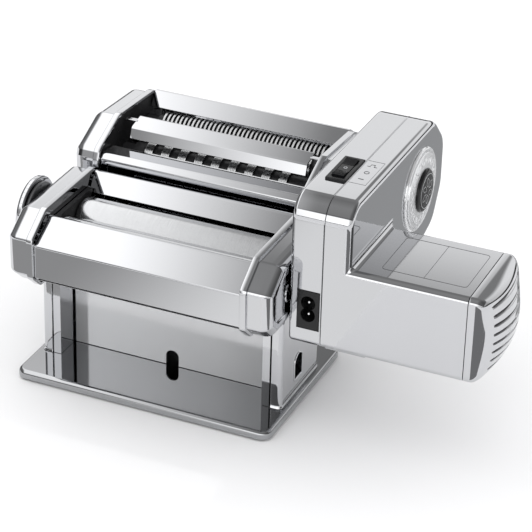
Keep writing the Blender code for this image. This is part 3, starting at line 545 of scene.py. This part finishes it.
def build_knob():
    """Knob with a rounded rim and a sunk face, and the numbered ring on the side towards the machine."""
    r, ins, out, hub = KNOB_R, KNOB_IN, KNOB_OUT, DIAL_IN_R - 0.8
    profile = [(-104.2, 0), (-104.2, 4.3), (ins, 4.3), (ins, hub - 1.4), (ins - 0.2, hub - 0.7),
               (ins - 0.8, hub - 0.1), (-101.8, hub + 0.3), (-101.8, r - 2.6), (-101.6, r - 2.0),
               (-101.6, r - 1.0)]
    profile += [(-102.3 + 0.7 * math.cos(t), r - 0.8 + 0.8 * math.sin(t)) for t in degrees(15, 7)]
    profile += [(-103, r), (-104.2, r)]
    profile += [(out + 2.2 - 2.2 * math.sin(t), r - 2.2 + 2.2 * math.cos(t)) for t in degrees(15, 7, 0)]
    profile += [(out, r - 6.6), (out + 0.3, r - 7.2), (out + 1.0, r - 8.4), (out + 1.3, r - 9.4),
                (out + 1.3, 6), (out + 1.2, 0)]
    piece("knob_disc", turned(profile, KNOB_AXIS, 128), "knob", "chrome_knob", ["thickness_knob"])
    low, high = DIAL_IN_R, DIAL_OUT_R
    ring = [(-101.3, low), (-101.3, high - 0.4), (-100.6, high), (ins - 0.7, high), (ins - 0.15, high - 0.3),
            (ins, high - 0.9), (ins, low + 0.6), (ins - 0.2, low + 0.15), (-99.8, low), (-101.3, low)]
    piece("dial_ring", turned(ring, KNOB_AXIS, 128), "knob", "dial_grey", ["knob_dial_ring"])
    figures = []
    for value in range(10):
        turn = math.radians(36 * (TOP_NUMBER - value))
        figure = numeral(str(value), 5.6, 0.12)
        spin = Matrix.Rotation(turn, 4, "X") @ Matrix.Translation((0, 0, 18.2 * MM))
        place = Matrix.Translation((ins * MM, KNOB_AXIS[0] * MM, KNOB_AXIS[1] * MM))
        figure.transform(place @ spin @ ALONG_X)
        figures.append(figure)
    piece("dial_numerals", joined(*figures), "knob", "black_plastic", material=MARK)
    grips = []
    for y, z in circle(KNOB_AXIS, r - 0.02, 40):
        grips.append(wire([(-102.6, y, z), (-104.4, y, z)], 0.16))
    piece("knob_grip_ribs", joined(*grips), "knob", "chrome_knob")


# ---------------------------------------------------------------- cutter attachment
def build_cutter_covers():
    axes = (CUTTER_AXES["fettuccine_front"], CUTTER_AXES["tagliolini_front"])
    for name, side in (("left", -1), ("right", 1)):
        cover = cover_cup(CUTTER_COVER, side)
        if side > 0:
            cover = carved(cover, *(rod((80, *axis), (104, *axis), 6.6) for axis in axes))
        piece(f"cutter_{name}_cover_shell", cover, "cutter", "chrome_cutter", [f"cutter_{name}_cover"])
    socket_ring("cutter_hole_ring", COVER_X - 0.9, axes[0], "cutter", "chrome_cutter")


def build_cutter_sheets():
    ridge = across(strip([(76, 146.5), (74.2, 152.3), (59.8, 149.2), (57.1, 141.5)], bend=2.0), -68, 68)
    along_y = Matrix(((1, 0, 0, 0), (0, 0, 1, 0), (0, 1, 0, 0), (0, 0, 0, 1)))   # (a, b, c) goes to (a, c, b)
    wedge = ((64.5, 130), (75, 130), (75, 152.6), (68.2, 152.6))
    taper = [extruded([[(side * x, z) for x, z in wedge]], 40, 100, along_y) for side in (-1, 1)]
    tabs = [block((low, 66, 150.4), (high, 70, 151.6), 0.3)
            for low, high in ((-SHEET_END, -67), (67, SHEET_END))]
    ridge = joined(carved(ridge, *taper), *tabs)
    piece("cutter_ridge_sheet", ridge, "cutter", "chrome_cutter", ["cutter_ridge"])
    path = [(28, 110), (28, 136), (30.5, 139.4), (48, 137.4)]
    hook = across(strip([(24.1, 106), (24.1, 118), (28, 118)], 0.9, 1.0), -60, 60)
    front = joined(across(strip(path, 1.2, 2.2)), hook)
    piece("cutter_front_sheet", front, "cutter", "chrome_cutter", ["cutter_front_shell"])
    path = [(108.6, 143.8), (115.4, 153.4), (118, 153.2), (128.6, 146), (131.2, 114), (121, 97)]
    rear = across(strip(path, bend=1.8))
    piece("cutter_rear_sheet", rear, "cutter", "chrome_cutter", ["cutter_rear_shell"])


def disc_profile(starts, width, tip, core, grooves=()):
    """Turned cutter roller along X: discs that start at the given places, with fine grooves in their rims."""
    end = CUTTER_END + 3
    profile = [(SOCKET_X, 0), (SOCKET_X, SOCKET_R), (SHAFT_END, SOCKET_R), (SHAFT_END, SHAFT_R),
               (end, SHAFT_R), (end, core)]
    for low in sorted(starts, reverse=True):
        high = low + width
        profile += [(high, core), (high, tip - 0.1), (high - 0.1, tip)]
        for place in sorted(grooves, reverse=True):
            x = low + width * place
            profile += [(x + 0.22, tip), (x + 0.12, tip - 0.3), (x - 0.12, tip - 0.3), (x - 0.22, tip)]
        profile += [(low + 0.1, tip), (low, tip - 0.1), (low, core)]
    return profile + [(-end, core), (-end, SHAFT_R), (-SHAFT_END, SHAFT_R), (-SHAFT_END, 0)]


def cutter_roller(name, shift, pitch, width, grooves=()):
    """Roller of discs a pitch apart, shifted by a share of the pitch, with painted shade on the core in the
    gaps between its discs.
    """
    axis = CUTTER_AXES[name]
    starts = []
    low = shift * pitch - CUTTER_END
    while low <= CUTTER_END - width:
        starts.append(low)
        low = shift * pitch - CUTTER_END + len(starts) * pitch
    profile = disc_profile(starts, width, CUTTER_TIP_R, CUTTER_CORE_R, grooves)
    made = piece(f"{name}_discs", turned(profile, axis, 64), f"{name}_roller", "cutter_metal",
                 [f"{name}_roller"], sharp=25)
    # The core faces between the discs take the second, dark material: painted shade for the deep gaps
    made.data.materials.append(PAINTED_SHADE)
    centre = Vector(axis) * MM + ORIGIN.yz
    for face in made.data.polygons:
        if ((made.matrix_world @ face.center).yz - centre).length < (CUTTER_TIP_R - 0.4) * MM:
            face.material_index = 1


def build_cutter_rollers():
    for place, shift in (("front", 0.0), ("rear", 0.5)):
        cutter_roller(f"fettuccine_{place}", shift, FETTUCCINE_PITCH, FETTUCCINE_DISC, (0.2, 0.4, 0.6, 0.8))
        cutter_roller(f"tagliolini_{place}", shift, TAGLIOLINI_PITCH, TAGLIOLINI_DISC)


# ---------------------------------------------------------------- motor drive
def build_inner_shell():
    """Inner half of the gearbox, with holes for the coupling, the switch and the inlet."""
    r, axis = 3.0, CUTTER_AXES["tagliolini_front"]
    profile = [(SEAM_X - 0.25, 0.35), (SEAM_X - 0.6, 0.05), (SEAM_X - 0.9, 0.0), (DRIVE_IN + r, 0.0)]
    profile += [(DRIVE_IN + r - r * math.sin(t), r * (1 - math.cos(t))) for t in degrees(15, 7)]
    tools = [rod((90, *axis), (110, *axis), 7),
             block((SWITCH_X - 6.1, SWITCH_Y - 16.3, 170), (SWITCH_X + 6.1, SWITCH_Y + 16.3, 180)),
             block((INLET_X - 8.2, DRIVE_FRONT - 4, 81.2), (INLET_X + 8.2, DRIVE_FRONT + 6, 110.7))]
    casting = carved(cup(GEARBOX, profile, 2.4), *tools)
    piece("gearbox_inner_casting", casting, "motor_unit", "chrome_drive", ["gearbox_inner_shell"])


def build_housing():
    """Outer casting: the gearbox half and the motor barrel share their front and lower faces, so they are one
    skin."""
    low_x, step_x, end_x = SEAM_X + 0.25, GEARBOX_OUT, BARREL_OUT
    outline = [(DRIVE_FRONT, BARREL_LOW, 0)] + [(y, z, r) for y, z, r in GEARBOX[1:]]
    ring = rounded(outline, 12)
    front_low, arcs = ring[0], ring[1:]
    rear_low = Vector((BARREL_REAR, BARREL_LOW))
    inner_top = Vector((BARREL_REAR, BARREL_TOP))
    front_top = Vector((DRIVE_FRONT, BARREL_TOP))
    work = bmesh.new()

    def at(x, point):
        return work.verts.new((x * MM, point.x * MM, point.y * MM))

    # Vertices a to d are the barrel's corners, from the lower front one round to the upper front one
    near = [at(low_x, p) for p in [front_low] + arcs]
    a_near, rest_near = near[0], near[1:]
    a_end, b_end, c_end, d_end = (at(end_x, p) for p in (front_low, rear_low, inner_top, front_top))
    b_step, c_step, d_step = (at(step_x, p) for p in (rear_low, inner_top, front_top))
    rest_step = [at(step_x, p) for p in arcs]
    work.faces.new([a_near, rest_near[0], rest_step[0], b_step, b_end, a_end])
    for index in range(len(arcs) - 1):
        work.faces.new([rest_near[index], rest_near[index + 1], rest_step[index + 1], rest_step[index]])
    work.faces.new([rest_near[-1], a_near, a_end, d_end, d_step, rest_step[-1]])
    work.faces.new([d_step, d_end, c_end, c_step])
    work.faces.new([c_step, c_end, b_end, b_step])
    work.faces.new([b_step] + rest_step + [d_step, c_step])
    work.faces.new([a_end, b_end, c_end, d_end])
    work.faces.new(near[::-1])
    bmesh.ops.recalc_face_normals(work, faces=work.faces)
    work.edges.ensure_lookup_table()
    chosen = []
    for edge in work.edges:
        xs = [v.co.x / MM for v in edge.verts]
        if min(xs) > end_x - 0.01 or max(xs) < low_x + 0.01:
            continue
        if edge.calc_face_angle(0) > math.radians(25):
            chosen.append(edge)
    bmesh.ops.bevel(work, geom=chosen, offset=EDGE_R * MM, offset_type="OFFSET", segments=8, profile=0.5,
                    affect="EDGES", clamp_overlap=False, loop_slide=True)
    solid = mesh_of(work)
    wall = 2.6
    gearbox_room = extruded([rounded(inset(outline, wall), 6)], low_x - 4, step_x - wall)
    barrel_room = extruded([rounded(inset(BARREL, wall), 6)], low_x + 4, end_x + 4)
    piece("motor_casting", carved(solid, gearbox_room, barrel_room), "motor_unit", "chrome_drive",
          ["motor_housing"], sharp=30)
    pad = block((SEAM_X + 0.4, DRIVE_FRONT + 4, DRIVE_LOW), (154, 36, BARREL_LOW + 1.5), 1.9, 5)
    piece("casting_foot", pad, "motor_unit", "chrome_drive")


def build_end_cap():
    """Pillow-shaped cap with long cooling grooves in its outer face, and painted shade along the middle of each
    groove.
    """
    start, straight, edge = BARREL_OUT + 0.3, BARREL_OUT + 4.5, 6.0
    rise = CAP_OUT - 0.2 - straight - edge
    rings = [(start, 0.4), (start + 0.15, 0.1), (start + 0.5, 0.0), (straight - 1.5, 0.0)]
    rings += [(straight + edge * math.sin(t), edge * (1 - math.cos(t))) for t in degrees(6, 16, 0)]
    rings += [(straight + edge, edge + (31.0 - edge) * step / 60) for step in range(1, 61)]
    sections = []
    for x, narrow in rings:
        corners = [(y, z, EDGE_R + 0.3 * min(narrow, 30 - narrow) if narrow < 29 else 0.3)
                   for y, z, _ in inset(BARREL, narrow)]
        sections.append((x, corners))
    mesh = loft(sections, steps=24, sides=110)
    centre_y, centre_z = (DRIVE_FRONT + BARREL_REAR) / 2, (BARREL_LOW + BARREL_TOP) / 2
    half_y, half_z = (BARREL_REAR - DRIVE_FRONT) / 2, (BARREL_TOP - BARREL_LOW) / 2
    grooves, low, pitch, half = 8, BARREL_LOW + 8.0, 6.6, 1.15
    for vert in mesh.vertices:
        x, y, z = vert.co / MM
        u, v = (y - centre_y) / half_y, (z - centre_z) / half_z
        lift = min(max((x - straight) / edge, 0), 1) * rise * max(1 - u * u, 0) * max(1 - 0.85 * v * v, 0)
        near = (z - low) / pitch
        offset = abs(near - round(near)) * pitch
        dent = 0.0
        if 0 <= round(near) < grooves and offset < half:
            fade = min(max((y - DRIVE_FRONT - 9.5) / 4, 0), 1) * min(max((BARREL_REAR - 5 - y) / 4, 0), 1)
            dent = 1.4 * (0.5 + 0.5 * math.cos(math.pi * offset / half)) * fade * fade * (3 - 2 * fade)
            dent *= min(max((x - straight) / edge, 0), 1)
        vert.co.x += (lift - dent) * MM
    cap = piece("ribbed_end_cap", mesh, "motor_unit", "chrome_drive", ["motor_end_cap"], sharp=60)
    # Faces along the middle of each groove take the second, dark material: painted shade in the grooves
    cap.data.materials.append(PAINTED_SHADE)
    for face in cap.data.polygons:
        x, y, z = (cap.matrix_world @ face.center - ORIGIN) / MM
        near = (z - low) / pitch
        inside = DRIVE_FRONT + 11.5 < y < BARREL_REAR - 7 and x > straight + 0.8 * edge
        if inside and 0 <= round(near) < grooves and abs(near - round(near)) * pitch < 0.55:
            face.material_index = 1


def build_medallion():
    face, disc, r = GEARBOX_OUT + 0.1, GEARBOX_OUT + 3.2, MEDALLION_R
    profile = [(disc, 0), (disc, BADGE_R + 0.4), (disc - 0.1, BADGE_R + 1.0), (disc - 0.9, r - 4.2),
               (disc - 1.2, r - 3.7), (disc - 2.3, r - 3.4), (disc - 2.3, r - 2.6), (disc - 1.7, r - 2.3),
               (disc - 1.5, r - 1.8), (disc - 1.5, r - 1.2), (disc - 1.8, r - 0.6), (disc - 2.3, r - 0.15),
               (face + 0.1, r), (face, r), (face, 0)]
    piece("medallion_disc", turned(profile, MEDALLION_AXIS, 128), "motor_unit", "chrome_drive", ["medallion"],
          PEARL)
    leaves, count = [], 30
    for step in range(count):
        turn = math.tau * step / count
        leaf = bmesh.new()
        bmesh.ops.create_uvsphere(leaf, u_segments=12, v_segments=8, radius=MM)
        bmesh.ops.scale(leaf, vec=(0.55, 1.05, 3.4), verts=leaf.verts)
        lean = Matrix.Rotation(math.radians(28 if step % 2 else -28), 4, "X")
        place = Matrix.Rotation(turn, 4, "X") @ Matrix.Translation((0, 0, (BADGE_R + 5.6) * MM)) @ lean
        centre = Matrix.Translation(((disc - 0.55) * MM, MEDALLION_AXIS[0] * MM, MEDALLION_AXIS[1] * MM))
        bmesh.ops.transform(leaf, matrix=centre @ place, verts=leaf.verts)
        leaves.append(mesh_of(leaf))
    piece("medallion_relief", joined(*leaves), "motor_unit", "chrome_drive", material=PEARL)


def build_badge():
    """Domed badge on the medallion, with a ring and a six-petalled rosette."""
    b, top, back, (y, z) = BADGE_R, BADGE_TOP, GEARBOX_OUT + 3.3, MEDALLION_AXIS
    dome = [(top, 0), (top - 0.05, 6), (top - 0.3, b - 4), (top - 0.6, b - 2.4), (top - 1.0, b - 1.3),
            (top - 1.6, b - 0.5), (top - 2.4, b), (back, b), (back, 0)]
    piece("badge_disc", turned(dome, MEDALLION_AXIS, 96), "motor_unit", "black_plastic", ["medallion_badge"])
    lines = [wire([(top - 0.4, *p) for p in circle((y, z), 12.4, 64)], 0.16, True)]
    for step in range(6):
        tip = math.radians(60 * step + 30)
        petal = [(3.0 + 7.0 * part / 16, 2.1 * math.sin(math.pi * part / 16)) for part in range(17)]
        petal += [(a, -b) for a, b in petal[::-1][1:-1]]
        points = [(top - 0.15 - 0.002 * a * a, y + a * math.cos(tip) - b * math.sin(tip),
                   z + a * math.sin(tip) + b * math.cos(tip)) for a, b in petal]
        lines.append(wire(points, 0.2, True))
    piece("badge_rosette", joined(*lines), "motor_unit", "black_plastic", material=PALE_MARK)


def build_switch():
    """Rocker switch in its frame, and the plain marks of its legend."""
    x, y, top = SWITCH_X, SWITCH_Y, DRIVE_TOP
    bezel = block((x - 7.4, y - 18, top - 0.4), (x + 7.4, y + 18, top + 1.5), 0.55, 4)
    skirt = block((x - 5.7, y - 15.9, 167), (x + 5.7, y + 15.9, top + 1.0))
    well = block((x - 4.6, y - 14.5, 160), (x + 4.6, y + 14.5, top + 9))
    frame_mesh = carved(carved(bezel, skirt, operation="UNION"), well)
    piece("switch_frame", frame_mesh, "motor_unit", "black_plastic", ["switch_bezel"], bevel=0.25)
    outline = [(y - 13, 169.5, 0.5), (y + 13, 169.5, 0.5), (y + 13.4, 179.9, 1.0), (y + 12.4, 179.9, 0.6),
               (y + 4.4, 178.2, 2.0), (y - 4.4, 178.2, 2.0), (y - 12.4, 179.9, 0.6), (y - 13.4, 179.9, 1.0)]
    piece("switch_key", extruded([rounded(outline, 6)], x - 4.2, x + 4.2), "switch", "black_plastic",
          ["switch_rocker"], bevel=0.4)
    ring = wire([(x + a, y + b, 178.25) for a, b in circle((0, 0), 1.15, 32)], 0.17, True)
    piece("switch_ring_mark", ring, "switch", "black_plastic", material=PALE_MARK)
    left, right, front, rear = SEAM_X + 0.6, 135.2, y - 15.5, y + 20.5
    level = top + 0.02
    border = wire([(left, rear, level), (right, rear, level), (right, front, level), (left, front, level)],
                  0.13)
    middle_x = 129
    off = wire([(middle_x + a, y + 2.5 + b, level) for a, b in circle((0, 0), 1.7, 32)], 0.2, True)
    on = wire([(middle_x - 1.9, y - 8.0, level), (middle_x + 1.9, y - 8.0, level)], 0.26)
    pulse = wire([(middle_x - 3.4, y + 12.2, level), (middle_x - 1.4, y + 12.2, level),
                  (middle_x - 1.4, y + 15.2, level), (middle_x + 1.4, y + 15.2, level),
                  (middle_x + 1.4, y + 12.2, level), (middle_x + 3.4, y + 12.2, level)], 0.2)
    piece("switch_legend", joined(border, off, on, pulse), "motor_unit", "black_plastic", material=MARK)


def build_inlet():
    x, front = INLET_X, DRIVE_FRONT - 0.5
    body = block((x - 7.9, front, 81.5), (x + 7.9, -22, 110.4), 0.4, 3)
    depth = front + 12
    tools = [rod((x, front - 3, z), (x, depth, z), 5.2, 64) for z in INLET_PINS_Z]
    piece("inlet_body", carved(body, *tools), "motor_unit", "black_plastic", ["power_inlet"], bevel=0.25)
    pins = []
    for z in INLET_PINS_Z:
        pin = turned([(1.0, 0), (0.85, 0.6), (0.4, 1.05), (0, 1.2), (-11.5, 1.2), (-11.5, 0)], (0, 0), 32)
        place = Matrix.Translation((x * MM, (front + 2.2) * MM, z * MM))
        pin.transform(place @ Matrix.Rotation(-math.pi / 2, 4, "Z"))
        pins.append(pin)
    piece("inlet_pins", joined(*pins), "motor_unit", "steel", material=PIN)


def build_label_border():
    """Engraved border on top of the barrel, with nothing written inside it."""
    left, right, front, rear = 158.0, 217.0, -27.0, 21.5
    corners = rounded([(left, front, 2.5), (right, front, 2.5), (right, rear, 2.5), (left, rear, 2.5)], 6)
    level = BARREL_TOP + 0.02
    border = wire([(p.x, p.y, level) for p in corners], 0.16, True)
    split = (left + right) / 2
    divider = wire([(split, front, level), (split, rear, level)], 0.14)
    piece("label_border", joined(border, divider), "motor_unit", "chrome_drive", material=MARK)


def dress_cad_nodes():
    """Every CAD node that still shows gets the material of its slot."""
    slots = {row["node"]: row["material_slot"] for row in frame["record"]["subparts"]}
    for name, node in NODES.items():
        node.data.materials.clear()
        node.data.materials.append(BY_SLOT[slots[name]])


# ---------------------------------------------------------------- stage, light and camera
def glow(name, strength):
    material = bpy.data.materials.new(name)
    material.use_nodes = True
    tree = material.node_tree
    tree.nodes.clear()
    light = add(tree, "Emission", Color=(*strength, 1), Strength=1.0)
    output = tree.nodes.new("ShaderNodeOutputMaterial")
    tree.links.new(light.outputs[0], output.inputs[0])
    return material


def fading_glow(name, near, far, start, end):
    """Emission that goes from one grey to another along X, between two places in metres."""
    material = glow(name, (near, near, near))
    tree = material.node_tree
    light = next(node for node in tree.nodes if node.type == "EMISSION")
    x = add(tree, "SeparateXYZ", Vector=add(tree, "TexCoord").outputs["Object"]).outputs["X"]
    soft = tree.nodes.new("ShaderNodeMapRange")
    soft.interpolation_type = "SMOOTHSTEP"
    tree.links.new(x, soft.inputs["Value"])
    for key, value in (("From Min", start), ("From Max", end), ("To Min", near), ("To Max", far)):
        soft.inputs[key].default_value = value
    tree.links.new(soft.outputs["Result"], light.inputs["Strength"])
    light.inputs["Color"].default_value = (1.0, 1.0, 1.0, 1)
    return material


def flat_sheet(name, low, high, level, material):
    """Level rectangle of the stage between two (x, y) corners, in metres."""
    corners = [(low[0], low[1], level), (high[0], low[1], level), (high[0], high[1], level),
               (low[0], high[1], level)]
    mesh = bpy.data.meshes.new(name)
    mesh.from_pydata(corners, [], [(0, 1, 2, 3)])
    made = bpy.data.objects.new(name, mesh)
    bpy.context.scene.collection.objects.link(made)
    mesh.materials.append(material)
    return made


def reflected_card(name, low, high, material):
    """Rectangle just above the floor that shows only in reflections, as painted shade on the floor."""
    made = flat_sheet(name, low, high, 0.0008, material)
    made.visible_camera = made.visible_diffuse = made.visible_shadow = False


def build_stage():
    paint = finish("floor_paint", (0.84, 0.84, 0.845), 0.85, 0.0, spread=0.05, tone=0.01, grain=4, bump=0.0)
    flat_sheet("floor", (-5.0, -5.0), (5.0, 5.0), 0, paint)
    # Sheets that glow only in reflections: painted floor shade at the right rear, the right front and the left
    # front, the last one fading out towards the middle
    reflected_card("rear_card", (0.08, 0.16), (0.26, 1.2), glow("grey_floor_shade", (0.40, 0.405, 0.41)))
    reflected_card("front_card", (0.150, -0.60), (0.36, -0.13), glow("dark_floor_shade", (0.24, 0.24, 0.245)))
    reflected_card("panel_card", (-0.45, -0.50), (0.02, -0.15),
                   fading_glow("panel_floor_shade", 0.42, 1.10, -0.22, -0.05))


# Brightness of the surroundings, by the angle in degrees from the rear horizon over the top to the front one.
# Reflections that lead to the left see the first, and those that lead to the right see the second.
LEFT_SKY = ((0, 0.05), (8, 0.05), (12, 1.2), (29, 1.25), (33, 0.9), (45, 1.8), (148, 1.8), (160, 0.5),
            (172, 0.35), (178, 0.03))
RIGHT_SKY = ((0, 0.05), (8, 0.05), (12, 1.2), (28.5, 1.15), (31.5, 0.30), (60, 0.24), (100, 0.34),
             (142, 0.30), (149, 0.17), (152, 1.9), (180, 1.9))
SIDE_FADE = ((-1.0, 0.12), (-0.72, 0.14), (-0.56, 1.0), (0.35, 1.0), (0.85, 0.45))   # by the direction's X
SKY_TOP = 2.0                     # the brightness that a ramp's white stands for


def set_stops(ramp, stops, start, length, top):
    """Grey stops of a colour ramp, from (place, value) pairs."""
    elements = ramp.color_ramp.elements
    elements.remove(elements[-1])
    for index, (place, value) in enumerate(stops):
        position = (place - start) / length
        stop = elements.new(position) if index else elements[0]
        stop.position, stop.color = position, (value / top,) * 3 + (1,)


def sky_ramp(tree, around, stops):
    ramp = tree.nodes.new("ShaderNodeValToRGB")
    tree.links.new(around, ramp.inputs[0])
    set_stops(ramp, stops, 0, 180, SKY_TOP)
    return ramp.outputs[0]


def build_light():
    """Grey and white surroundings for reflections, a plain bright room for the rest, and one soft lamp."""
    world = bpy.data.worlds.new("studio")
    bpy.context.scene.world = world
    world.use_nodes = True
    tree = world.node_tree
    tree.nodes.clear()
    way = add(tree, "TexCoord").outputs["Generated"]
    parts = add(tree, "SeparateXYZ", Vector=way).outputs
    angle = tree.nodes.new("ShaderNodeMath")
    angle.operation = "ARCTAN2"
    tree.links.new(parts["Z"], angle.inputs[0])
    tree.links.new(parts["Y"], angle.inputs[1])
    around = add(tree, "MapRange", Value=angle.outputs[0], From_Min=0.0, From_Max=math.pi).outputs["Result"]
    left, right = (sky_ramp(tree, around, stops) for stops in (LEFT_SKY, RIGHT_SKY))
    across_x = add(tree, "MapRange", Value=parts["X"], From_Min=-0.405, From_Max=-0.33).outputs["Result"]
    blend = tree.nodes.new("ShaderNodeMix")
    blend.data_type = "RGBA"
    tree.links.new(across_x, blend.inputs[0])
    tree.links.new(left, blend.inputs[6])
    tree.links.new(right, blend.inputs[7])
    fade = tree.nodes.new("ShaderNodeValToRGB")
    along_x = add(tree, "MapRange", Value=parts["X"], From_Min=-1.0, From_Max=1.0).outputs["Result"]
    tree.links.new(along_x, fade.inputs[0])
    set_stops(fade, SIDE_FADE, -1.0, 2.0, 1.0)
    strength = tree.nodes.new("ShaderNodeMath")
    strength.operation = "MULTIPLY"
    tree.links.new(fade.outputs[0], strength.inputs[0])
    strength.inputs[1].default_value = SKY_TOP
    seen = add(tree, "Background", Color=blend.outputs[2], Strength=strength.outputs[0])
    plain = add(tree, "Background", Color=(0.97, 0.97, 0.975, 1), Strength=1.42)
    rays = add(tree, "LightPath").outputs
    direct = tree.nodes.new("ShaderNodeMath")
    direct.operation = "MAXIMUM"
    tree.links.new(rays["Is Camera Ray"], direct.inputs[0])
    tree.links.new(rays["Is Diffuse Ray"], direct.inputs[1])
    mix = tree.nodes.new("ShaderNodeMixShader")
    tree.links.new(direct.outputs[0], mix.inputs[0])
    tree.links.new(seen.outputs[0], mix.inputs[1])
    tree.links.new(plain.outputs[0], mix.inputs[2])
    output = tree.nodes.new("ShaderNodeOutputWorld")
    tree.links.new(mix.outputs[0], output.inputs[0])
    light = bpy.data.lights.new("softbox", "AREA")
    light.shape, light.size, light.size_y, light.energy = "RECTANGLE", 1.4, 0.9, 1.5
    lamp = bpy.data.objects.new("softbox", light)
    bpy.context.scene.collection.objects.link(lamp)
    lamp.visible_glossy = False
    lamp.location = (-0.7, 0.3, 1.5)
    lamp.rotation_euler = (Vector((0, 0, 0.1)) - lamp.location).to_track_quat("-Z", "Y").to_euler()


def build_camera():
    """A long lens from the front right, a little above the machine."""
    place = ORIGIN + Vector((604.9, -1272.2, 850.0)) * MM
    right, up, back = (0.9147, 0.4034, 0.0250), (-0.2131, 0.4288, 0.8779), (0.3434, -0.8083, 0.4782)
    data = bpy.data.cameras.new("camera")
    data.lens, data.sensor_width = 155.48, 36.0
    camera = bpy.data.objects.new("camera", data)
    bpy.context.scene.collection.objects.link(camera)
    turn = Matrix((right, up, back)).transposed()
    camera.matrix_world = Matrix.Translation(place) @ turn.to_quaternion().to_matrix().to_4x4()
    bpy.context.scene.camera = camera
    bpy.context.scene.view_settings.view_transform = "Standard"


def main():
    dress_cad_nodes()
    build_base()
    build_legs()
    build_sheets()
    build_end_covers()
    build_dough_rollers()
    build_knob()
    build_cutter_covers()
    build_cutter_sheets()
    build_cutter_rollers()
    build_inner_shell()
    build_housing()
    build_end_cap()
    build_medallion()
    build_badge()
    build_switch()
    build_inlet()
    build_label_border()
    build_stage()
    build_light()
    build_camera()


main()
